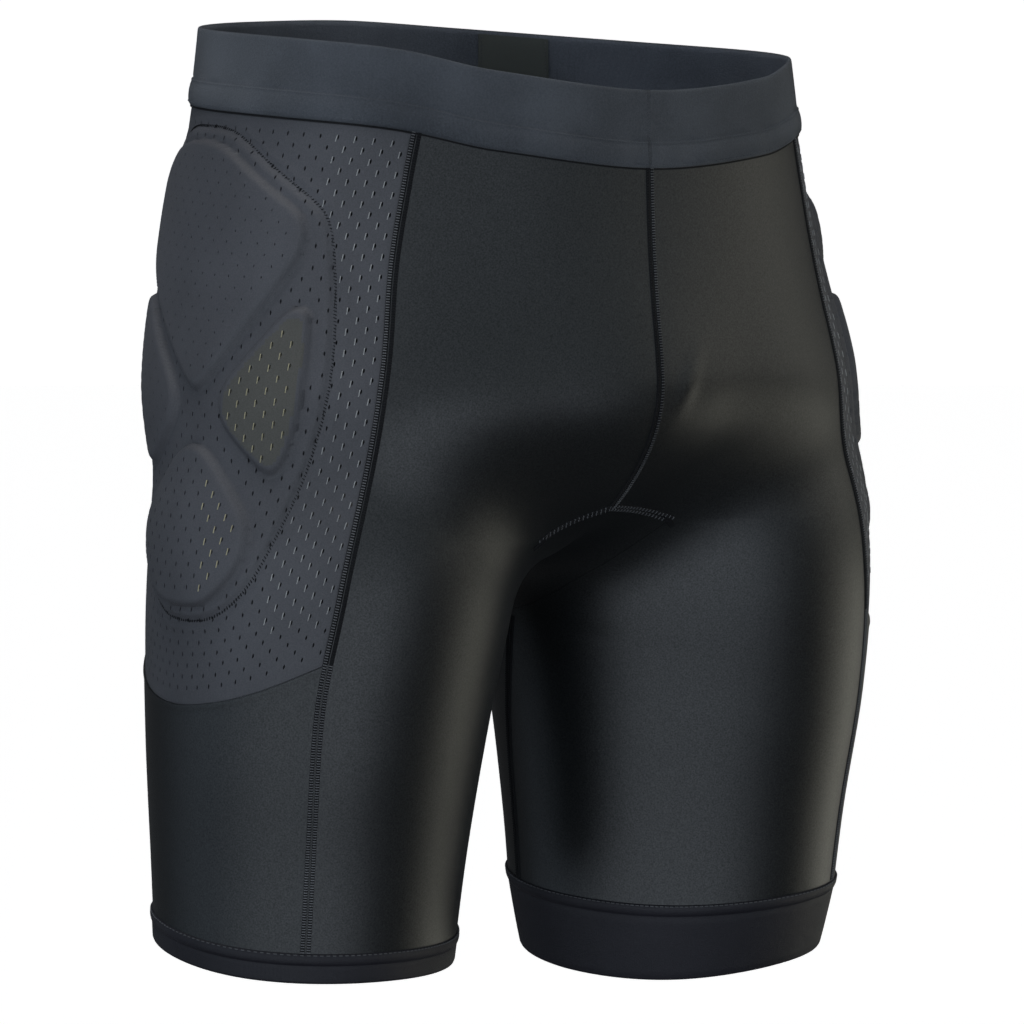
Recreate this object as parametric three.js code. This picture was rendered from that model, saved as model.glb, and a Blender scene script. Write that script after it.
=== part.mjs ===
import * as THREE from "three";

// Padded protective shorts in their worn shape, in millimetres.
// +Z is up, the front faces -Y, the wearer's right is at -X, and the origin is the middle of the waist.

// Driving sizes
const SEAM_PULL = 0.2;
const CLOTH = 1.5;
const MESH_CLOTH = 1.4;
const LAYER_GAP = 0.3;
const BAND_HEIGHT = 36.5;
const BAND_STRIP = 12;
const BAND_THICK = 2.2;
const STRIP_THICK = 3.4;
const WAIST_TILT = 0.045;
const LEG_BAND_HEIGHT = { right: 14.5, left: 37 };
const LEG_BAND_THICK = 2.2;
const LEG_BAND_TAPER = { right: 0, left: 3.5 };
const LEG_BAND_SLANT = { right: 0, left: 0.08 };
const PAD_DROP = { right: 0, left: 8 };
const PAD_WEB = 2.4;
const PAD_LOBE = 4.8;
const LOBE_CROWN = 0.6;
const PAD_MM_PER_DEGREE = 1.7;
const LABEL = { turn: 138, width: 15, drop: 2, height: 31, thick: 0.8 };

// Trunk sections: half width, and how far the front and the back reach from the middle
const TRUNK = [
  { z: -260, halfWidth: 173, front: 115, back: 132 },
  { z: -200, halfWidth: 175, front: 117, back: 136 },
  { z: -160, halfWidth: 173, front: 116, back: 134 },
  { z: -120, halfWidth: 168, front: 113, back: 125 },
  { z: -80, halfWidth: 162, front: 111, back: 119 },
  { z: -40, halfWidth: 154, front: 110, back: 117 },
  { z: 0, halfWidth: 147, front: 110, back: 116 },
  { z: 30, halfWidth: 145, front: 109, back: 116 },
];
const TRUNK_SQUARENESS = 2.25;
const TRUNK_BOTTOM = { from: -155, deep: 92 };

// Thigh sections: the middle, and the half widths along and across the slanting long way
const THIGH = [
  { z: -475, x: 114, y: 6, long: 72, short: 64 },
  { z: -440, x: 114, y: 5, long: 77, short: 68 },
  { z: -380, x: 113, y: 2, long: 83, short: 73 },
  { z: -320, x: 111, y: -2, long: 91, short: 79 },
  { z: -260, x: 105, y: -4, long: 98, short: 85 },
  { z: -210, x: 98, y: -4, long: 100, short: 86 },
  { z: -150, x: 86, y: -3, long: 90, short: 80 },
  { z: -80, x: 70, y: -2, long: 70, short: 66 },
  { z: 0, x: 60, y: 0, long: 60, short: 56 },
];
const THIGH_TURN = 42;
const CROTCH_BLEND = 34;

// The line in each half that angles are measured round: 0 is the side, 90 the front, 180 the inner thigh
const HALF_AXIS = [
  { z: -440, x: 110 },
  { z: -240, x: 95 },
  { z: -120, x: 70 },
  { z: 0, x: 55 },
];

// Top edge of the waistband by the turn from the front round to the back
const WAIST_EDGE = [
  { turn: -40, z: -14 },
  { turn: 0, z: -21 },
  { turn: 40, z: -14 },
  { turn: 58, z: -6 },
  { turn: 75, z: -3 },
  { turn: 110, z: 0 },
  { turn: 150, z: 4 },
  { turn: 180, z: 6 },
  { turn: 210, z: 4 },
];

// Top edge of the leg bands by angle round the thigh
const LEG_EDGE = [
  { angle: -230, z: -419 },
  { angle: -180, z: -416 },
  { angle: -130, z: -410 },
  { angle: -90, z: -406 },
  { angle: -30, z: -406 },
  { angle: 30, z: -414 },
  { angle: 75, z: -417 },
  { angle: 130, z: -419 },
  { angle: 180, z: -416 },
  { angle: 230, z: -410 },
];

// Long seams of the side panel
const FRONT_SEAM = [
  { z: -425, angle: 47.5 },
  { z: -360, angle: 48.5 },
  { z: -300, angle: 49.5 },
  { z: -250, angle: 53 },
  { z: -200, angle: 55.5 },
  { z: -150, angle: 55 },
  { z: -100, angle: 53.5 },
  { z: -60, angle: 55 },
  { z: -30, angle: 57 },
];
const REAR_SEAM = [
  { z: -425, angle: -47 },
  { z: -320, angle: -48 },
  { z: -260, angle: -51 },
  { z: -210, angle: -54 },
  { z: -160, angle: -61 },
  { z: -110, angle: -67 },
  { z: -60, angle: -68 },
  { z: -20, angle: -66 },
];
const MESH_BOTTOM = [
  { angle: -50, z: -280 },
  { angle: -35, z: -288 },
  { angle: -15, z: -298 },
  { angle: 4, z: -302 },
  { angle: 20, z: -299 },
  { angle: 34, z: -292 },
  { angle: 52, z: -278 },
];
const INSEAM = [
  { z: -425, angle: 206 },
  { z: -340, angle: 200 },
  { z: -275, angle: 185 },
];

// Gusset: the middle line's reach, and the edge on the inner thigh, from front to back
const GUSSET_MIDDLE = { front: -85, back: 80 };
const GUSSET_EDGE = [
  { along: 0, angle: 129, z: -233 },
  { along: 0.25, angle: 153, z: -256 },
  { along: 0.5, angle: 185, z: -275 },
  { along: 0.75, angle: 208, z: -256 },
  { along: 1, angle: 228, z: -236 },
];

// Hip pad: its leaning middle line, and the corners of its outline and lobes as across and height
const PAD_MIDDLE = [
  { z: -262, angle: 9.5 },
  { z: -170, angle: 6.6 },
  { z: -100, angle: -4.6 },
  { z: -40, angle: -13.8 },
];
const PAD_OUTLINE = {
  corners: [
    [-24, -39], [24, -39], [74, -75], [75, -96], [51, -208], [34, -248], [16, -262],
    [-16, -262], [-34, -248], [-51, -208], [-75, -96], [-74, -75],
  ],
};
const LOBES = [
  { name: "upper", corners: [[-20, -45], [20, -45], [66, -78], [64, -92], [0, -162], [-64, -92], [-66, -78]] },
  { name: "front", corners: [[54, -115], [62, -117], [45, -195], [41, -199], [12, -170], [12, -158]] },
  { name: "rear", corners: [[-12, -158], [-12, -170], [-41, -199], [-45, -195], [-62, -117], [-54, -115]] },
  { name: "lower", corners: [[7, -181], [36, -217], [34, -235], [16, -256], [-16, -256], [-34, -235], [-36, -217], [-7, -181]] },
];

const COLOURS = {
  smooth: { colour: 0x2b2f33, rough: 0.55 },
  mesh: { colour: 0x45464f, rough: 0.75 },
  elastic: { colour: 0x3a3e45, rough: 0.8 },
  hem: { colour: 0x2e2c34, rough: 0.8 },
  foam: { colour: 0x5a584c, rough: 0.9 },
  label: { colour: 0x17181a, rough: 0.7 },
};

const RAD = Math.PI / 180;

// A smooth curve through one column of a table that is sorted by its key
function column(rows, key, name, at) {
  const last = rows.length - 1;
  const t = Math.min(Math.max(at, rows[0][key]), rows[last][key]);
  let i = 0;
  while (i < last - 1 && rows[i + 1][key] < t) i += 1;
  const slope = (k) => {
    const a = rows[Math.max(k - 1, 0)];
    const b = rows[Math.min(k + 1, last)];
    return (b[name] - a[name]) / (b[key] - a[key]);
  };
  const span = rows[i + 1][key] - rows[i][key];
  const s = (t - rows[i][key]) / span;
  const s2 = s * s;
  const s3 = s2 * s;
  return (
    (2 * s3 - 3 * s2 + 1) * rows[i][name] +
    (s3 - 2 * s2 + s) * span * slope(i) +
    (3 * s2 - 2 * s3) * rows[i + 1][name] +
    (s3 - s2) * span * slope(i + 1)
  );
}

// How far a point is outside the worn body, about in millimetres
function bodyField(x, y, z) {
  const side = Math.abs(x);
  const reach = column(TRUNK, "z", y < 0 ? "front" : "back", z);
  const across = side / column(TRUNK, "z", "halfWidth", z);
  const level = (across ** TRUNK_SQUARENESS + (Math.abs(y) / reach) ** TRUNK_SQUARENESS) ** (1 / TRUNK_SQUARENESS);
  const below = Math.max(TRUNK_BOTTOM.from - z, 0);
  const trunkShare = Math.hypot(level, below / TRUNK_BOTTOM.deep);
  const trunk = Math.hypot(x, y, below) * (1 - 1 / Math.max(trunkShare, 1e-6));
  const dx = side - column(THIGH, "z", "x", z);
  const dy = y - column(THIGH, "z", "y", z);
  const c = Math.cos(THIGH_TURN * RAD);
  const s = Math.sin(THIGH_TURN * RAD);
  const thighShare = Math.hypot(
    (dx * c - dy * s) / column(THIGH, "z", "long", z),
    (dx * s + dy * c) / column(THIGH, "z", "short", z),
  );
  const thigh = Math.hypot(dx, dy) * (1 - 1 / Math.max(thighShare, 1e-6));
  const near = Math.max(CROTCH_BLEND - Math.abs(trunk - thigh), 0) / CROTCH_BLEND;
  return Math.min(trunk, thigh) - (near * near * CROTCH_BLEND) / 4;
}

function bodyNormal(p) {
  const h = 0.5;
  const n = new THREE.Vector3(
    bodyField(p.x + h, p.y, p.z) - bodyField(p.x - h, p.y, p.z),
    bodyField(p.x, p.y + h, p.z) - bodyField(p.x, p.y - h, p.z),
    bodyField(p.x, p.y, p.z + h) - bodyField(p.x, p.y, p.z - h),
  );
  return n.normalize();
}

// The body's surface along a level line that starts inside it
function castLevel(startX, dirX, dirY, z) {
  let far = 0;
  while (far < 300 && bodyField(startX + dirX * far, dirY * far, z) < 0) far += 4;
  let low = far - 4;
  for (let k = 0; k < 34; k += 1) {
    const mid = (low + far) / 2;
    if (bodyField(startX + dirX * mid, dirY * mid, z) < 0) low = mid;
    else far = mid;
  }
  return new THREE.Vector3(startX + dirX * low, dirY * low, z);
}

function halfPoint(side, angle, z) {
  const start = side * column(HALF_AXIS, "z", "x", z);
  return castLevel(start, side * Math.cos(angle * RAD), -Math.sin(angle * RAD), z);
}

function halfAngle(side, p, behind) {
  const angle = Math.atan2(-p.y, side * p.x - column(HALF_AXIS, "z", "x", p.z)) / RAD;
  if (behind) return angle > 0 ? angle - 360 : angle;
  return angle < 0 ? angle + 360 : angle;
}

function waistPoint(turn, z) {
  return castLevel(0, Math.sin(turn * RAD), -Math.cos(turn * RAD), z);
}

// Height of the waistband's top edge over a point
function waistTop(x, y) {
  const turn = Math.atan2(Math.abs(x), -y) / RAD;
  return column(WAIST_EDGE, "turn", "z", turn) - WAIST_TILT * x;
}

// Where a line at one angle of a half meets the waistband's bottom edge
function underWaist(side, angle) {
  let z = -42;
  for (let k = 0; k < 8; k += 1) {
    const p = halfPoint(side, angle, z);
    z = waistTop(p.x, p.y) - BAND_HEIGHT - 2 * SEAM_PULL;
  }
  return z;
}

function legTop(angle) {
  return column(LEG_EDGE, "angle", "z", angle - 360 * Math.round(angle / 360));
}

function overLegBand(angle) {
  return legTop(angle) + 2 * SEAM_PULL;
}

// Moves a guess onto the body's surface
function ontoBody(p) {
  const q = p.clone();
  for (let k = 0; k < 12; k += 1) {
    q.addScaledVector(bodyNormal(q), -0.9 * bodyField(q.x, q.y, q.z));
  }
  return q;
}

function underBody(x, y) {
  let low = -180;
  let high = -290;
  for (let k = 0; k < 40; k += 1) {
    const mid = (low + high) / 2;
    if (bodyField(x, y, mid) < 0) low = mid;
    else high = mid;
  }
  return new THREE.Vector3(x, y, low);
}

// A closed mesh from points and triangles, turned so that its faces look out
function closedMesh(name, points, triangles, look) {
  let volume = 0;
  for (const [a, b, c] of triangles) {
    volume += points[a].dot(new THREE.Vector3().crossVectors(points[b], points[c]));
  }
  const geometry = new THREE.BufferGeometry();
  geometry.setAttribute("position", new THREE.Float32BufferAttribute(points.flatMap((p) => [p.x, p.y, p.z]), 3));
  geometry.setIndex(triangles.flatMap(([a, b, c]) => (volume < 0 ? [a, c, b] : [a, b, c])));
  geometry.computeVertexNormals();
  const material = new THREE.MeshStandardMaterial({ color: look.colour, roughness: look.rough, metalness: 0 });
  const mesh = new THREE.Mesh(geometry, material);
  mesh.name = name;
  return mesh;
}

// A wall over a grid of body points, between two heights over the body
function wall(name, grid, look, inner, outer) {
  const rows = grid.length;
  const cols = grid[0].length;
  const points = [];
  for (const height of [outer, inner]) {
    for (let j = 0; j < rows; j += 1) {
      for (let i = 0; i < cols; i += 1) {
        const { point, normal } = grid[j][i];
        points.push(point.clone().addScaledVector(normal, height(j, i)));
      }
    }
  }
  const at = (layer, j, i) => layer * rows * cols + j * cols + i;
  const triangles = [];
  const face = (a, b, c, d) => triangles.push([a, b, c], [a, c, d]);
  for (let j = 0; j + 1 < rows; j += 1) {
    for (let i = 0; i + 1 < cols; i += 1) {
      face(at(0, j, i), at(0, j + 1, i), at(0, j + 1, i + 1), at(0, j, i + 1));
      face(at(1, j, i), at(1, j, i + 1), at(1, j + 1, i + 1), at(1, j + 1, i));
    }
  }
  for (let i = 0; i + 1 < cols; i += 1) {
    face(at(0, 0, i), at(0, 0, i + 1), at(1, 0, i + 1), at(1, 0, i));
    face(at(0, rows - 1, i + 1), at(0, rows - 1, i), at(1, rows - 1, i), at(1, rows - 1, i + 1));
  }
  for (let j = 0; j + 1 < rows; j += 1) {
    face(at(0, j + 1, 0), at(0, j, 0), at(1, j, 0), at(1, j + 1, 0));
    face(at(0, j, cols - 1), at(0, j + 1, cols - 1), at(1, j + 1, cols - 1), at(1, j, cols - 1));
  }
  return closedMesh(name, points, triangles, look);
}

// A ring swept round the body from a closed profile of drop below the edge and height over the body
function ring(name, look, stations, edgeAt, pointAt, profile) {
  const points = [];
  for (let k = 0; k < stations; k += 1) {
    const turn = (360 * k) / stations;
    const top = edgeAt(turn);
    for (const { drop, out } of profile) {
      const p = pointAt(turn, top - drop);
      points.push(p.addScaledVector(bodyNormal(p), out));
    }
  }
  const size = profile.length;
  const triangles = [];
  for (let k = 0; k < stations; k += 1) {
    for (let m = 0; m < size; m += 1) {
      const next = ((k + 1) % stations) * size;
      const a = k * size + m;
      const b = k * size + ((m + 1) % size);
      const c = next + ((m + 1) % size);
      const d = next + m;
      triangles.push([a, b, c], [a, c, d]);
    }
  }
  return closedMesh(name, points, triangles, look);
}

function lay(point) {
  return { point, normal: bodyNormal(point) };
}

// Grid of a panel between an outer seam and an inner edge, row by row
function panelGrid(side, rows, columns) {
  const first = rows[0];
  const last = rows[rows.length - 1];
  const fade = 6;
  return rows.map((row, j) => {
    const cells = [];
    const length = Math.abs(row.innerAngle - row.outerAngle) * RAD * 95;
    const pull = SEAM_PULL / length;
    for (let i = 0; i <= columns; i += 1) {
      const u = pull + (1 - 2 * pull) * (i / columns);
      const angle = row.outerAngle + (row.innerAngle - row.outerAngle) * u;
      let z = row.outerZ + (row.innerZ - row.outerZ) * u;
      const fromTop = Math.max(1 - j / fade, 0);
      const fromEnd = Math.max(1 - (rows.length - 1 - j) / fade, 0);
      if (fromTop > 0) {
        const topAngle = first.outerAngle + (first.innerAngle - first.outerAngle) * u;
        z += fromTop * (underWaist(side, topAngle) - first.outerZ - (first.innerZ - first.outerZ) * u);
      }
      if (fromEnd > 0) {
        const endAngle = last.outerAngle + (last.innerAngle - last.outerAngle) * u;
        z += fromEnd * (overLegBand(endAngle) - last.outerZ - (last.innerZ - last.outerZ) * u);
      }
      cells.push(lay(halfPoint(side, angle, z)));
    }
    return cells;
  });
}

// Points of the gusset: across from the middle to the inner thigh, along from front to back
function gussetPoint(side, across, along) {
  const y = GUSSET_MIDDLE.front + (GUSSET_MIDDLE.back - GUSSET_MIDDLE.front) * along;
  const middle = underBody(0, y);
  const edgeAngle = column(GUSSET_EDGE, "along", "angle", along);
  const edge = halfPoint(side, edgeAngle, column(GUSSET_EDGE, "along", "z", along));
  if (across === 0) return middle;
  return ontoBody(middle.lerp(edge, across));
}

const GUSSET_ACROSS = 4;
const GUSSET_ALONG = 10;

// Rows of a front or back panel: down the middle, round the gusset, then down the inner thigh
function panelRows(side, behind) {
  const seam = behind ? REAR_SEAM : FRONT_SEAM;
  const seamAngle = (z) => column(seam, "z", "angle", z);
  const inner = [];
  const along = behind ? 1 : 0;
  const facing = behind ? 1 : -1;
  const topZ = underWaistMiddle(facing);
  const joinZ = underBody(0, behind ? GUSSET_MIDDLE.back : GUSSET_MIDDLE.front).z;
  const middleRows = 7;
  for (let k = 0; k < middleRows; k += 1) {
    const z = topZ + (joinZ - topZ) * (k / middleRows);
    inner.push(castLevel(0, 0, facing, z));
  }
  for (let k = 0; k <= GUSSET_ACROSS; k += 1) {
    inner.push(gussetPoint(side, k / GUSSET_ACROSS, along));
  }
  for (let k = 1; k <= GUSSET_ALONG / 2; k += 1) {
    inner.push(gussetPoint(side, 1, behind ? 1 - k / GUSSET_ALONG : k / GUSSET_ALONG));
  }
  const inseamRows = 6;
  const startZ = inner[inner.length - 1].z;
  const endAngle = column(INSEAM, "z", "angle", -418);
  const endZ = overLegBand(endAngle);
  for (let k = 1; k <= inseamRows; k += 1) {
    const z = startZ + (endZ - startZ) * (k / inseamRows);
    inner.push(halfPoint(side, column(INSEAM, "z", "angle", z), z));
  }
  const count = inner.length - 1;
  let outerTop = underWaist(side, seamAngle(-40));
  outerTop = underWaist(side, seamAngle(outerTop));
  const outerEnd = overLegBand(seamAngle(-416));
  return inner.map((p, k) => {
    const outerZ = outerTop + (outerEnd - outerTop) * (k / count);
    return {
      outerZ,
      outerAngle: seamAngle(outerZ),
      innerZ: p.z,
      innerAngle: halfAngle(side, p, behind),
    };
  });
}

function underWaistMiddle(facing) {
  const p = castLevel(0, 0, facing, -40);
  return waistTop(0, p.y) - BAND_HEIGHT - 2 * SEAM_PULL;
}

// How far a point is outside a shape whose straight sides run into each other in round corners
function shapeReach(shape, x, z) {
  const count = shape.corners.length;
  let sum = 0;
  shape.corners.forEach(([ax, az], k) => {
    const [bx, bz] = shape.corners[(k + 1) % count];
    const out = ((x - ax) * (az - bz) + (z - az) * (bx - ax)) / Math.hypot(bx - ax, bz - az);
    sum += Math.exp(out / CORNER_ROUND);
  });
  return CORNER_ROUND * Math.log(sum);
}

// Points round a shape in even steps along its edge, each with the point that is drawn in from it
function outlineOf(shape, inset) {
  const count = shape.corners.length;
  const middle = shape.corners.reduce((m, [x, z]) => ({ x: m.x + x / count, z: m.z + z / count }), { x: 0, z: 0 });
  const edgeAt = (turn, drawnIn) => {
    let low = 0;
    let high = 160;
    for (let k = 0; k < 30; k += 1) {
      const mid = (low + high) / 2;
      const x = middle.x + mid * Math.cos(turn);
      const z = middle.z + mid * Math.sin(turn);
      if (shapeReach(shape, x, z) < -drawnIn) low = mid;
      else high = mid;
    }
    return { across: middle.x + low * Math.cos(turn), z: middle.z + low * Math.sin(turn) };
  };
  const fine = 360;
  const along = [0];
  for (let k = 0; k < fine; k += 1) {
    const from = edgeAt((2 * Math.PI * k) / fine, 0);
    const to = edgeAt((2 * Math.PI * (k + 1)) / fine, 0);
    along.push(along[k] + Math.hypot(to.across - from.across, to.z - from.z));
  }
  const steps = Math.round(along[fine] / PATTERN_STEP);
  const outline = [];
  let k = 0;
  for (let m = 0; m < steps; m += 1) {
    while (along[k + 1] < (along[fine] * m) / steps) k += 1;
    const turn = (2 * Math.PI * k) / fine;
    outline.push({ edge: edgeAt(turn, 0), inner: edgeAt(turn, inset) });
  }
  return outline;
}

// Whether a point of the flat pattern is inside a loop
function insideLoop(loop, x, z) {
  let inside = false;
  loop.forEach((a, k) => {
    const b = loop[(k + 1) % loop.length];
    if (a.z > z !== b.z > z && x < a.x + ((b.x - a.x) * (z - a.z)) / (b.z - a.z)) inside = !inside;
  });
  return inside;
}

// Triangles between points of the flat pattern, each with no other point in its circle
function triangulate(points) {
  const far = 5000;
  const all = points.map(({ x, z }, k) => ({ x: x + 0.003 * Math.sin(12.9 * k), z: z + 0.003 * Math.cos(7.3 * k) }));
  const n = all.length;
  all.push({ x: -far, z: -far }, { x: far, z: -far }, { x: 0, z: far });
  const withCircle = (a, b, c) => {
    const [p, q, r] = [all[a], all[b], all[c]];
    const d = 2 * (p.x * (q.z - r.z) + q.x * (r.z - p.z) + r.x * (p.z - q.z));
    const pp = p.x * p.x + p.z * p.z;
    const qq = q.x * q.x + q.z * q.z;
    const rr = r.x * r.x + r.z * r.z;
    const x = (pp * (q.z - r.z) + qq * (r.z - p.z) + rr * (p.z - q.z)) / d;
    const z = (pp * (r.x - q.x) + qq * (p.x - r.x) + rr * (q.x - p.x)) / d;
    return { at: [a, b, c], x, z, reach: Math.hypot(p.x - x, p.z - z) };
  };
  let found = [withCircle(n, n + 1, n + 2)];
  for (let k = 0; k < n; k += 1) {
    const hit = (t) => Math.hypot(all[k].x - t.x, all[k].z - t.z) < t.reach;
    const edges = new Map();
    for (const t of found.filter(hit)) {
      for (let m = 0; m < 3; m += 1) {
        const [a, b] = [t.at[m], t.at[(m + 1) % 3]];
        if (edges.has(`${b} ${a}`)) edges.delete(`${b} ${a}`);
        else edges.set(`${a} ${b}`, [a, b]);
      }
    }
    found = found.filter((t) => !hit(t));
    for (const [a, b] of edges.values()) found.push(withCircle(a, b, k));
  }
  return found.map((t) => t.at).filter((t) => t.every((k) => k < n));
}

// A wall over triangles of body points, between two heights over the body
function triangleWall(name, cells, triangles, look, inner, outer) {
  const used = [...new Set(triangles.flat())];
  const place = new Map(used.map((k, m) => [k, m]));
  const points = [];
  for (const height of [outer, inner]) {
    for (const k of used) points.push(cells[k].point.clone().addScaledVector(cells[k].normal, height(cells[k])));
  }
  const under = used.length;
  const faces = [];
  const open = new Map();
  for (const triangle of triangles) {
    const [a, b, c] = triangle.map((k) => place.get(k));
    faces.push([a, b, c], [a + under, c + under, b + under]);
    for (const [p, q] of [[a, b], [b, c], [c, a]]) {
      if (open.has(`${q} ${p}`)) open.delete(`${q} ${p}`);
      else open.set(`${p} ${q}`, [p, q]);
    }
  }
  for (const [p, q] of open.values()) faces.push([p, p + under, q + under], [p, q + under, q]);
  return closedMesh(name, points, faces, look);
}

// Side panel and pad as one flat pattern: the edges, the pad's outline, the lobes, then points between them
const PATTERN_STEP = 10;
const PATTERN_FILL = 20;
const PATTERN_CLEAR = 10;
const LOBE_TOP = 4.8;
const CORNER_ROUND = 3.5;
const PAD_EDGE = 7;
const SIDE_STEPS = { across: 14, down: 18 };

function sidePattern(side, drop) {
  const cells = [];
  const add = (angle, z, pad) => {
    const cell = { ...lay(halfPoint(side, angle, z)), angle, x: angle * PAD_MM_PER_DEGREE, z, pad };
    cells.push(cell);
    return cell;
  };
  const seamPull = SEAM_PULL / PAD_MM_PER_DEGREE;
  const rearAt = (z) => column(REAR_SEAM, "z", "angle", z) + seamPull;
  const frontAt = (z) => column(FRONT_SEAM, "z", "angle", z) - seamPull;
  const topAt = (angle) => underWaist(side, angle);
  const endAt = (angle) => column(MESH_BOTTOM, "angle", "z", angle) + SEAM_PULL;
  const corner = (angleAt, zAt) => {
    let z = -150;
    for (let k = 0; k < 8; k += 1) z = zAt(angleAt(z));
    return { angle: angleAt(z), z };
  };
  const rearTop = corner(rearAt, topAt);
  const frontTop = corner(frontAt, topAt);
  const rearEnd = corner(rearAt, endAt);
  const frontEnd = corner(frontAt, endAt);
  const edge = [];
  for (let k = 0; k < SIDE_STEPS.across; k += 1) {
    const angle = rearTop.angle + (frontTop.angle - rearTop.angle) * (k / SIDE_STEPS.across);
    edge.push(add(angle, topAt(angle), 0));
  }
  for (let k = 0; k < SIDE_STEPS.down; k += 1) {
    const z = frontTop.z + (frontEnd.z - frontTop.z) * (k / SIDE_STEPS.down);
    edge.push(add(frontAt(z), z, 0));
  }
  const bottomAngles = [];
  for (let k = 0; k <= SIDE_STEPS.across; k += 1) {
    const angle = frontEnd.angle + (rearEnd.angle - frontEnd.angle) * (k / SIDE_STEPS.across);
    bottomAngles.unshift(angle);
    if (k < SIDE_STEPS.across) edge.push(add(angle, endAt(angle), 0));
  }
  for (let k = 0; k < SIDE_STEPS.down; k += 1) {
    const z = rearEnd.z + (rearTop.z - rearEnd.z) * (k / SIDE_STEPS.down);
    edge.push(add(rearAt(z), z, 0));
  }
  const middleAt = (z) => column(PAD_MIDDLE, "z", "angle", z);
  const onPad = (across, z, pad) => add(middleAt(z) + across / PAD_MM_PER_DEGREE, z - drop, pad);
  const padLoop = [];
  for (const { edge: at, inner: beyond } of outlineOf(PAD_OUTLINE, -PAD_EDGE)) {
    padLoop.push(onPad(at.across, at.z, PAD_WEB));
    const room = topAt(middleAt(beyond.z) + beyond.across / PAD_MM_PER_DEGREE) - (beyond.z - drop);
    if (room > PAD_EDGE / 2) onPad(beyond.across, beyond.z, 0);
  }
  const tops = [];
  const feet = [];
  for (const lobe of LOBES) {
    const outline = outlineOf(lobe, LOBE_TOP);
    feet.push(outline.map(({ edge: foot }) => onPad(foot.across, foot.z, PAD_WEB)));
    tops.push(outline.map(({ inner: top }) => onPad(top.across, top.z, PAD_WEB + PAD_LOBE)));
  }
  const inAny = (loops, x, z) => loops.some((loop) => insideLoop(loop, x, z));
  for (let z = -60; z > -300; z -= PATTERN_FILL) {
    for (let x = -120; x < 100; x += PATTERN_FILL) {
      const near = cells.some((cell) => Math.hypot(cell.x - x, cell.z - z) < PATTERN_CLEAR);
      if (near || !insideLoop(edge, x, z)) continue;
      const raised = inAny(tops, x, z);
      if (!raised && inAny(feet, x, z)) continue;
      const crown = PAD_WEB + PAD_LOBE + LOBE_CROWN;
      add(x / PAD_MM_PER_DEGREE, z, raised ? crown : insideLoop(padLoop, x, z) ? PAD_WEB : 0);
    }
  }
  const within = (loop) => (t) => {
    const [a, b, c] = t.map((k) => cells[k]);
    return insideLoop(loop, (a.x + b.x + c.x) / 3, (a.z + b.z + c.z) / 3);
  };
  const triangles = triangulate(cells).filter(within(edge));
  return { cells, triangles, padTriangles: triangles.filter(within(padLoop)), bottomAngles };
}

// Lower side panel: its columns go on from those of the mesh above it
function thighGrid(side, angles) {
  const rows = 5;
  const shares = angles.map((angle) => (angle - angles[0]) / (angles[angles.length - 1] - angles[0]));
  const grid = [];
  for (let j = 0; j <= rows; j += 1) {
    const v = j / rows;
    grid.push(
      shares.map((u, i) => {
        let angle = angles[i];
        let z = 0;
        for (let k = 0; k < 6; k += 1) {
          const top = column(MESH_BOTTOM, "angle", "z", angles[i]) - SEAM_PULL;
          z = top + (overLegBand(angle) - top) * v;
          const rear = column(REAR_SEAM, "z", "angle", z) + SEAM_PULL / PAD_MM_PER_DEGREE;
          const front = column(FRONT_SEAM, "z", "angle", z) - SEAM_PULL / PAD_MM_PER_DEGREE;
          if (j > 0) angle = rear + (front - rear) * u;
        }
        return lay(halfPoint(side, angle, z));
      }),
    );
  }
  return grid;
}

function gussetGrid() {
  const grid = [];
  for (let j = 0; j <= GUSSET_ALONG; j += 1) {
    const long = 190;
    const along = SEAM_PULL / long + (1 - (2 * SEAM_PULL) / long) * (j / GUSSET_ALONG);
    const cells = [];
    for (let i = -GUSSET_ACROSS; i <= GUSSET_ACROSS; i += 1) {
      const across = (Math.abs(i) / GUSSET_ACROSS) * (1 - SEAM_PULL / 30);
      cells.push(lay(gussetPoint(i < 0 ? -1 : 1, across, along)));
    }
    grid.push(cells);
  }
  return grid;
}

function waistband() {
  const profile = [
    { drop: 0.6, out: 0 },
    { drop: BAND_HEIGHT / 2, out: 0 },
    { drop: BAND_HEIGHT, out: 0 },
    { drop: BAND_HEIGHT, out: STRIP_THICK - 0.6 },
    { drop: BAND_HEIGHT - BAND_STRIP / 2, out: STRIP_THICK },
    { drop: BAND_HEIGHT - BAND_STRIP, out: BAND_THICK },
    { drop: 0.6, out: BAND_THICK },
    { drop: 0, out: BAND_THICK / 2 },
  ];
  const edge = (turn) => {
    let p = waistPoint(turn, 0);
    p = waistPoint(turn, waistTop(p.x, p.y));
    return waistTop(p.x, p.y);
  };
  return ring("waistband", COLOURS.elastic, 48, edge, waistPoint, profile);
}

function legBand(name, side, height, taper, slant) {
  const straight = [
    { drop: 0, out: 0 },
    { drop: height - 0.6, out: 0 },
    { drop: height, out: LEG_BAND_THICK / 2 },
    { drop: height - 0.6, out: LEG_BAND_THICK },
    { drop: Math.min(6, height / 2), out: LEG_BAND_THICK },
    { drop: 1.2, out: LEG_BAND_THICK + 0.8 },
    { drop: 0, out: LEG_BAND_THICK },
  ];
  const profile = straight.map(({ drop, out }) => ({ drop, out: out - (taper * drop) / height }));
  const point = (turn, z) => {
    const top = legTop(turn);
    return halfPoint(side, turn, top - (top - z) * (1 - slant * Math.cos(turn * RAD)));
  };
  return ring(name, COLOURS.hem, 32, legTop, point, profile);
}

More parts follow.
